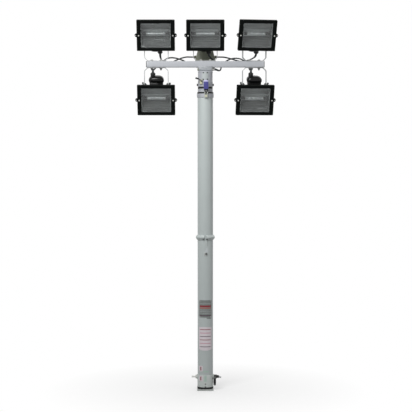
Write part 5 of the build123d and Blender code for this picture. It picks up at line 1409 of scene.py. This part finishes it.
# %% Pivot ears
for side in (-1, 1):
    inner, outer = sorted((side * 51.2, side * 56))
    ear = turned([(0, inner), (9.4, inner), (9.9, inner + 0.5), (9.9, outer - 0.5), (9.4, outer),
                  (0, outer)], 36)
    joined(shell, moved(ear, toward((0, 0, 0), (1, 0, 0))))
    web = bmesh.new()
    side_view = ((-9.9, 0), (-21.5, 10), (-9.9, 24), (9.9, 32), (9.9, 0))
    web.faces.new([web.verts.new((inner, y, z)) for y, z in side_view])
    raised = bmesh.ops.extrude_face_region(web, geom=web.faces[:])
    far_side = [part for part in raised["geom"] if isinstance(part, bmesh.types.BMVert)]
    bmesh.ops.translate(web, vec=(outer - inner, 0, 0), verts=far_side)
    bmesh.ops.recalc_face_normals(web, faces=web.faces)
    joined(shell, softened(web, 0.5))
on_every_lamp("cast_housing", shell, lamp_black, "housing")

# %% Domed wiring box
DOME_DROP = 41.8
neck = bridged([(64, 44, 8, 18), (66, 46, 8, 26), (66, 46, 8, 66)])
for n in range(4):
    joined(neck, bridged([(66.5, 47.4, 8, 19 + n * 3.4), (67.5, 48.4, 8, 19.8 + n * 3.4),
                          (66.5, 47.4, 8, 20.6 + n * 3.4)]))
dome = bridged([(26, 20, 9, 0), (42, 30, 12, 0.9), (54, 37, 14, 3), (64, 43, 16, 6.6), (71, 47, 17, 11),
                (75, 49.4, 18, 16.5), (75.6, 49.6, 18, 21), (73.6, 48.6, 17, 26), (68, 46, 15, 30.5),
                (64, 44, 12, 38)], steps=8)
box_place = Matrix.Translation((0, 13, -DOME_DROP))
joined(dome, moved(neck, Matrix.Translation((0, 0, 7))))
for side in (-1, 1):
    screw = turned([(0, 1.2), (1.4, 1.2), (1.6, 0.4), (2.6, 0.6), (3.2, 0), (0, 0)], 20)
    joined(dome, moved(screw, toward((side * 22, -24.6, 16), (0, -1, 0))))
on_every_lamp("wiring_dome", moved(dome, box_place), dome_black)

# %% Cable gland under the dome
GLAND_X, GLAND_Y = 17.0, 20.0
entry = moved(hexagon(13, 9.5, 0.8), Matrix.Translation((0, 0, -4.5)))
nut_outline = [(11.6, 5), (12, 5.5), (12, 10), (11, 12), (9, 13.6), (6.6, 15.0), (4.8, 15.9), (3.7, 16),
               (3.6, 15), (0, 15)]
joined(entry, turned([(0, 5)] + nut_outline, 36))
for n in range(12):
    rib = block((-0.6, 0.6), (11.5, 12.1), (5.4, 10), 0.25)
    joined(entry, moved(rib, Matrix.Rotation(tau * n / 12, 4, "Z")))
on_every_lamp("cable_gland", moved(entry, toward((GLAND_X, GLAND_Y, -42), (0, 0, -1))), black_plastic)

# %% Pivot bolts with wing nuts
wing_nuts = bmesh.new()
for side in (-1, 1):
    hub = turned([(0, 0), (7.2, 0), (7.4, 0.4), (7.4, 1.0), (5.5, 1.3), (5.4, 6.4), (4.6, 7), (3, 7),
                  (3, 9), (2.6, 9.3), (0, 9.3)], 28)
    for half in (-1, 1):
        wing = rounded_sheet(12, 9, 4)
        thickened(wing, 2.2)
        softened(wing, 0.5)
        moved(wing, Matrix.Translation((half * 9, 1.1, 6.4)) @ Matrix.Rotation(radians(90), 4, "X"))
        joined(hub, wing)
    onto_bolt = Matrix.Translation((side * 59.8, 0, 0)) @ Matrix.Rotation(side * radians(90), 4, "Y")
    joined(wing_nuts, moved(hub, onto_bolt @ Matrix.Rotation(radians(20), 4, "Z")))
    joined(wing_nuts, moved(hexagon(6, 3), toward((side * 51.0, 0, 0), (-side, 0, 0))))
on_every_lamp("wing_nuts", wing_nuts, dark_steel)

# %% [markdown]
# ## Junction box
# The leads meet in a cast box behind the arm. Its cover is drafted, so that it left its mould, and sits
# on a base plate with a thin joint between them. A bridge through rounded rectangles of shrinking size
# makes the taper, the joint and the rounded top in one shell, and ribs and screws are set on it.

# %% Cast cover and base plate
box_low, box_high = reach("junction_box")
BOX_Y = (box_low.y + box_high.y) / 2
BOX_TALL = box_high.z - box_low.z
BOX_FOOT = (box_high.x - box_low.x, box_high.y - box_low.y)
BOX_HEAD = (70.0, 40.0)


def box_span(up):
    """The drafted box's width and depth at a height above its foot."""
    return [low + (high - low) * up / BOX_TALL for low, high in zip(BOX_FOOT, BOX_HEAD)]


heights = [(1.2, 5, 0), (0.2, 6, 0.8), (0.1, 6, 2.6), (0.6, 6, 3.1), (1.8, 5, 3.3), (1.8, 5, 4.2),
           (0.5, 6, 4.5), (0.2, 6, 5.2), (0.2, 6, 9.4), (0.8, 6, 10.4), (2.6, 6, 11.6), (2.0, 6, 60),
           (2.2, 6, 93), (3.2, 6, 96.6), (5.4, 6, 99.0), (8.5, 5, 100)]
cover = bridged([(box_span(up)[0] - 2 * inset, box_span(up)[1] - 2 * inset, corner, up)
                 for inset, corner, up in heights])
DRAFT = (BOX_FOOT[1] - BOX_HEAD[1]) / 2 / BOX_TALL
for side in (-1, 1):
    for x in (-27, 27):
        thick = (-1.6, 2) if side < 0 else (-2, 1.6)
        rib = moved(block((-1.3, 1.3), thick, (14, 90), 0.6), Matrix.Rotation(side * DRAFT, 4, "X"))
        joined(cover, moved(rib, Matrix.Translation((x * 0.9, side * (BOX_FOOT[1] / 2 - 2.2), 0))))
moved(cover, Matrix.Translation((0, BOX_Y, box_low.z)))
piece("junction_cover", cover, "mast_head", olive_paint, "junction_box")

# %% Cover screws and a blank marking plate on top
cover_screws = bmesh.new()
for x in (-24, 24):
    for y in (-10, 10):
        screw = turned([(0, 0.5), (1.5, 0.5), (1.7, 1.6), (2.9, 1.4), (3.6, 0.7), (3.8, 0), (0, 0)], 20)
        joined(cover_screws, moved(screw, Matrix.Translation((x, BOX_Y + y, box_high.z - 0.2))))
piece("cover_screws", cover_screws, "mast_head", plated_steel)
blank = softened(thickened(rounded_sheet(34, 14, 1.5), 0.7), 0.25)
piece("blank_marking_plate", moved(blank, Matrix.Translation((0, BOX_Y, box_high.z - 0.1))), "mast_head",
      bright_plate)
piece("box_angle", filed("box_shelf", 0.6), "mast_head", galvanised, "box_shelf")


# %% Cable glands
def box_gland():
    """A hexagon and a ribbed cap that squeezes a rubber ring round the lead."""
    gland = hexagon(8, 6, 0.7)
    joined(gland, turned([(0, 6), (5.6, 6), (6.2, 6.4), (6.4, 7), (6.4, 10), (5.9, 11.4), (4.9, 12.6),
                          (4.0, 13), (3.7, 12.4), (0, 12.4)], 32))
    for n in range(10):
        rib = block((-0.5, 0.5), (6.1, 6.5), (6.8, 10.4), 0.2)
        joined(gland, moved(rib, Matrix.Rotation(tau * n / 10, 4, "Z")))
    return gland


LOW_GLAND, HIGH_GLAND = box_low.z + 10, box_low.z + 47
SIDE_Y, REAR_Y = box_low.y + 18, box_low.y + 44
saddle_low, saddle_high = reach("saddle")
saddle_z = (saddle_low.z + arm_low.z) / 2
dark_glands, olive_glands = bmesh.new(), bmesh.new()
for side, y, z in ((-1, SIDE_Y, LOW_GLAND), (-1, SIDE_Y, HIGH_GLAND), (1, SIDE_Y, LOW_GLAND),
                   (1, SIDE_Y, HIGH_GLAND), (1, REAR_Y, LOW_GLAND)):
    seat_x = box_span(z - box_low.z + 8)[0] / 2
    joined(olive_glands if z == HIGH_GLAND else dark_glands,
           moved(box_gland(), toward((side * (seat_x - 0.4), y, z), (side, 0, 0))))
joined(dark_glands, moved(box_gland(), toward((20, box_low.y + 24, box_low.z), (0, 0, -1))))
piece("box_glands_olive", olive_glands, "mast_head", olive_gland)
piece("box_glands_dark", dark_glands, "mast_head", black_plastic, "cable_glands")
piece("saddle_gland", moved(box_gland(), toward((saddle_high.x, 0, saddle_z), (1, 0, 0))), "mast_head",
      plated_steel)
plug = hexagon(8, 4.6, 0.7)
joined(plug, turned([(0, 4.6), (4.6, 4.6), (4.4, 5.6), (3.2, 6), (0, 6)], 24))
piece("saddle_plug", moved(plug, toward((saddle_low.x, 0, saddle_z), (-1, 0, 0))), "mast_head", olive_gland)

# %% [markdown]
# ## Rubber leads
# A lead is one round tube along its smooth line, so a bevelled curve makes it, and baking gives the mesh.
# It is held by the arm at one end and by a lamp that tilts at the other, and the short run between
# bends. The five lamp leads are kept where they are drawn, on no body. The sixth lead, from the
# saddle, has nothing to follow and stays still on the head. Where a lead leaves its gland, a tapered
# sleeve of softer rubber keeps it from kinking.

# %% Which lamp each lead feeds, and the run that bends, in metres
BENDS = {
    "lead_upper_left": ("lamp_upper_left", (-0.205, 0.037, 1.625), (-0.223, 0.045, 1.652)),
    "lead_middle": ("lamp_upper_middle", (0.046, 0.042, 1.622), (0.019, 0.045, 1.652)),
    "lead_upper_right": ("lamp_upper_right", (0.212, 0.047, 1.629), (0.248, 0.0455, 1.655)),
    "lead_lower_left": ("lamp_lower_left", (-0.245, 0.023, 1.5895), (-0.2565, -0.0045, 1.572)),
    "lead_lower_right": ("lamp_lower_right", (0.228, 0.023, 1.5895), (0.2235, -0.0055, 1.572)),
}


def rubber(name, mesh, lead):
    """A mesh made from a curve, as a rubber piece: on the head for the supply lead, and left where it is
    drawn for the lamp leads.
    """
    mesh.materials.clear()
    mesh.materials.append(lead_rubber)
    for face in mesh.polygons:
        face.use_smooth = True
    made = bpy.data.objects.new(name, mesh)
    scene.collection.objects.link(made)
    if lead in BENDS:
        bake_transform(made)
    else:
        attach(made, "mast_head")
    return made


# %% The six leads
for name, points in ROUTES.items():
    curve = lead_curve(name, points)
    curve.bevel_depth = LEAD_R
    curve.bevel_resolution = 3
    curve.use_fill_caps = True
    tube = rubber(name.replace("lead", "cable"), baked(curve), name)
    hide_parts(name)
    print(tube.name, len(tube.data.polygons), "faces")

# %% Tapered strain reliefs
SLEEVE_LONG = 0.022
SLEEVE_START, SLEEVE_TAPER, SLEEVE_RIDGE = 5.6, 1.7, 0.25
for name in ROUTES:
    line, reached = [lead_lines[name][0]], 0.0
    for point in lead_lines[name][1:]:
        reached += (point - line[-1]).length
        line.append(point)
        if reached > SLEEVE_LONG:
            break
    sleeve = bpy.data.curves.new(name + "_sleeve", "CURVE")
    sleeve.dimensions = "3D"
    sleeve.bevel_depth = 0.001
    sleeve.bevel_resolution = 4
    sleeve.use_fill_caps = True
    spline = sleeve.splines.new("POLY")
    spline.points.add(len(line) - 1)
    for n, (point, place) in enumerate(zip(spline.points, line)):
        point.co = (*place, 1)
        point.radius = SLEEVE_START - SLEEVE_TAPER * n / (len(line) - 1) + SLEEVE_RIDGE * (n % 2)
    rubber(name.replace("lead", "strain_relief"), baked(sleeve), name)

# %% A cable tie round the arm
TIE_X = -213
tie = bridged([(arm_side + 1.2, arm_side + 1.2, 3.6, 0), (arm_side + 2.0, arm_side + 2.0, 4, 0.3),
               (arm_side + 2.0, arm_side + 2.0, 4, 3.9), (arm_side + 1.2, arm_side + 1.2, 3.6, 4.2),
               (arm_side + 0.2, arm_side + 0.2, 3.2, 4.2), (arm_side + 0.2, arm_side + 0.2, 3.2, 0)],
              closed=True)
buckle = block((-4, 4), (arm_side / 2 + 0.6, arm_side / 2 + 4.6), (-0.8, 5), 0.8)
piece("cable_tie", moved(joined(tie, buckle), toward((TIE_X, 0, arm_z), (1, 0, 0))), "mast_head", tie_nylon)
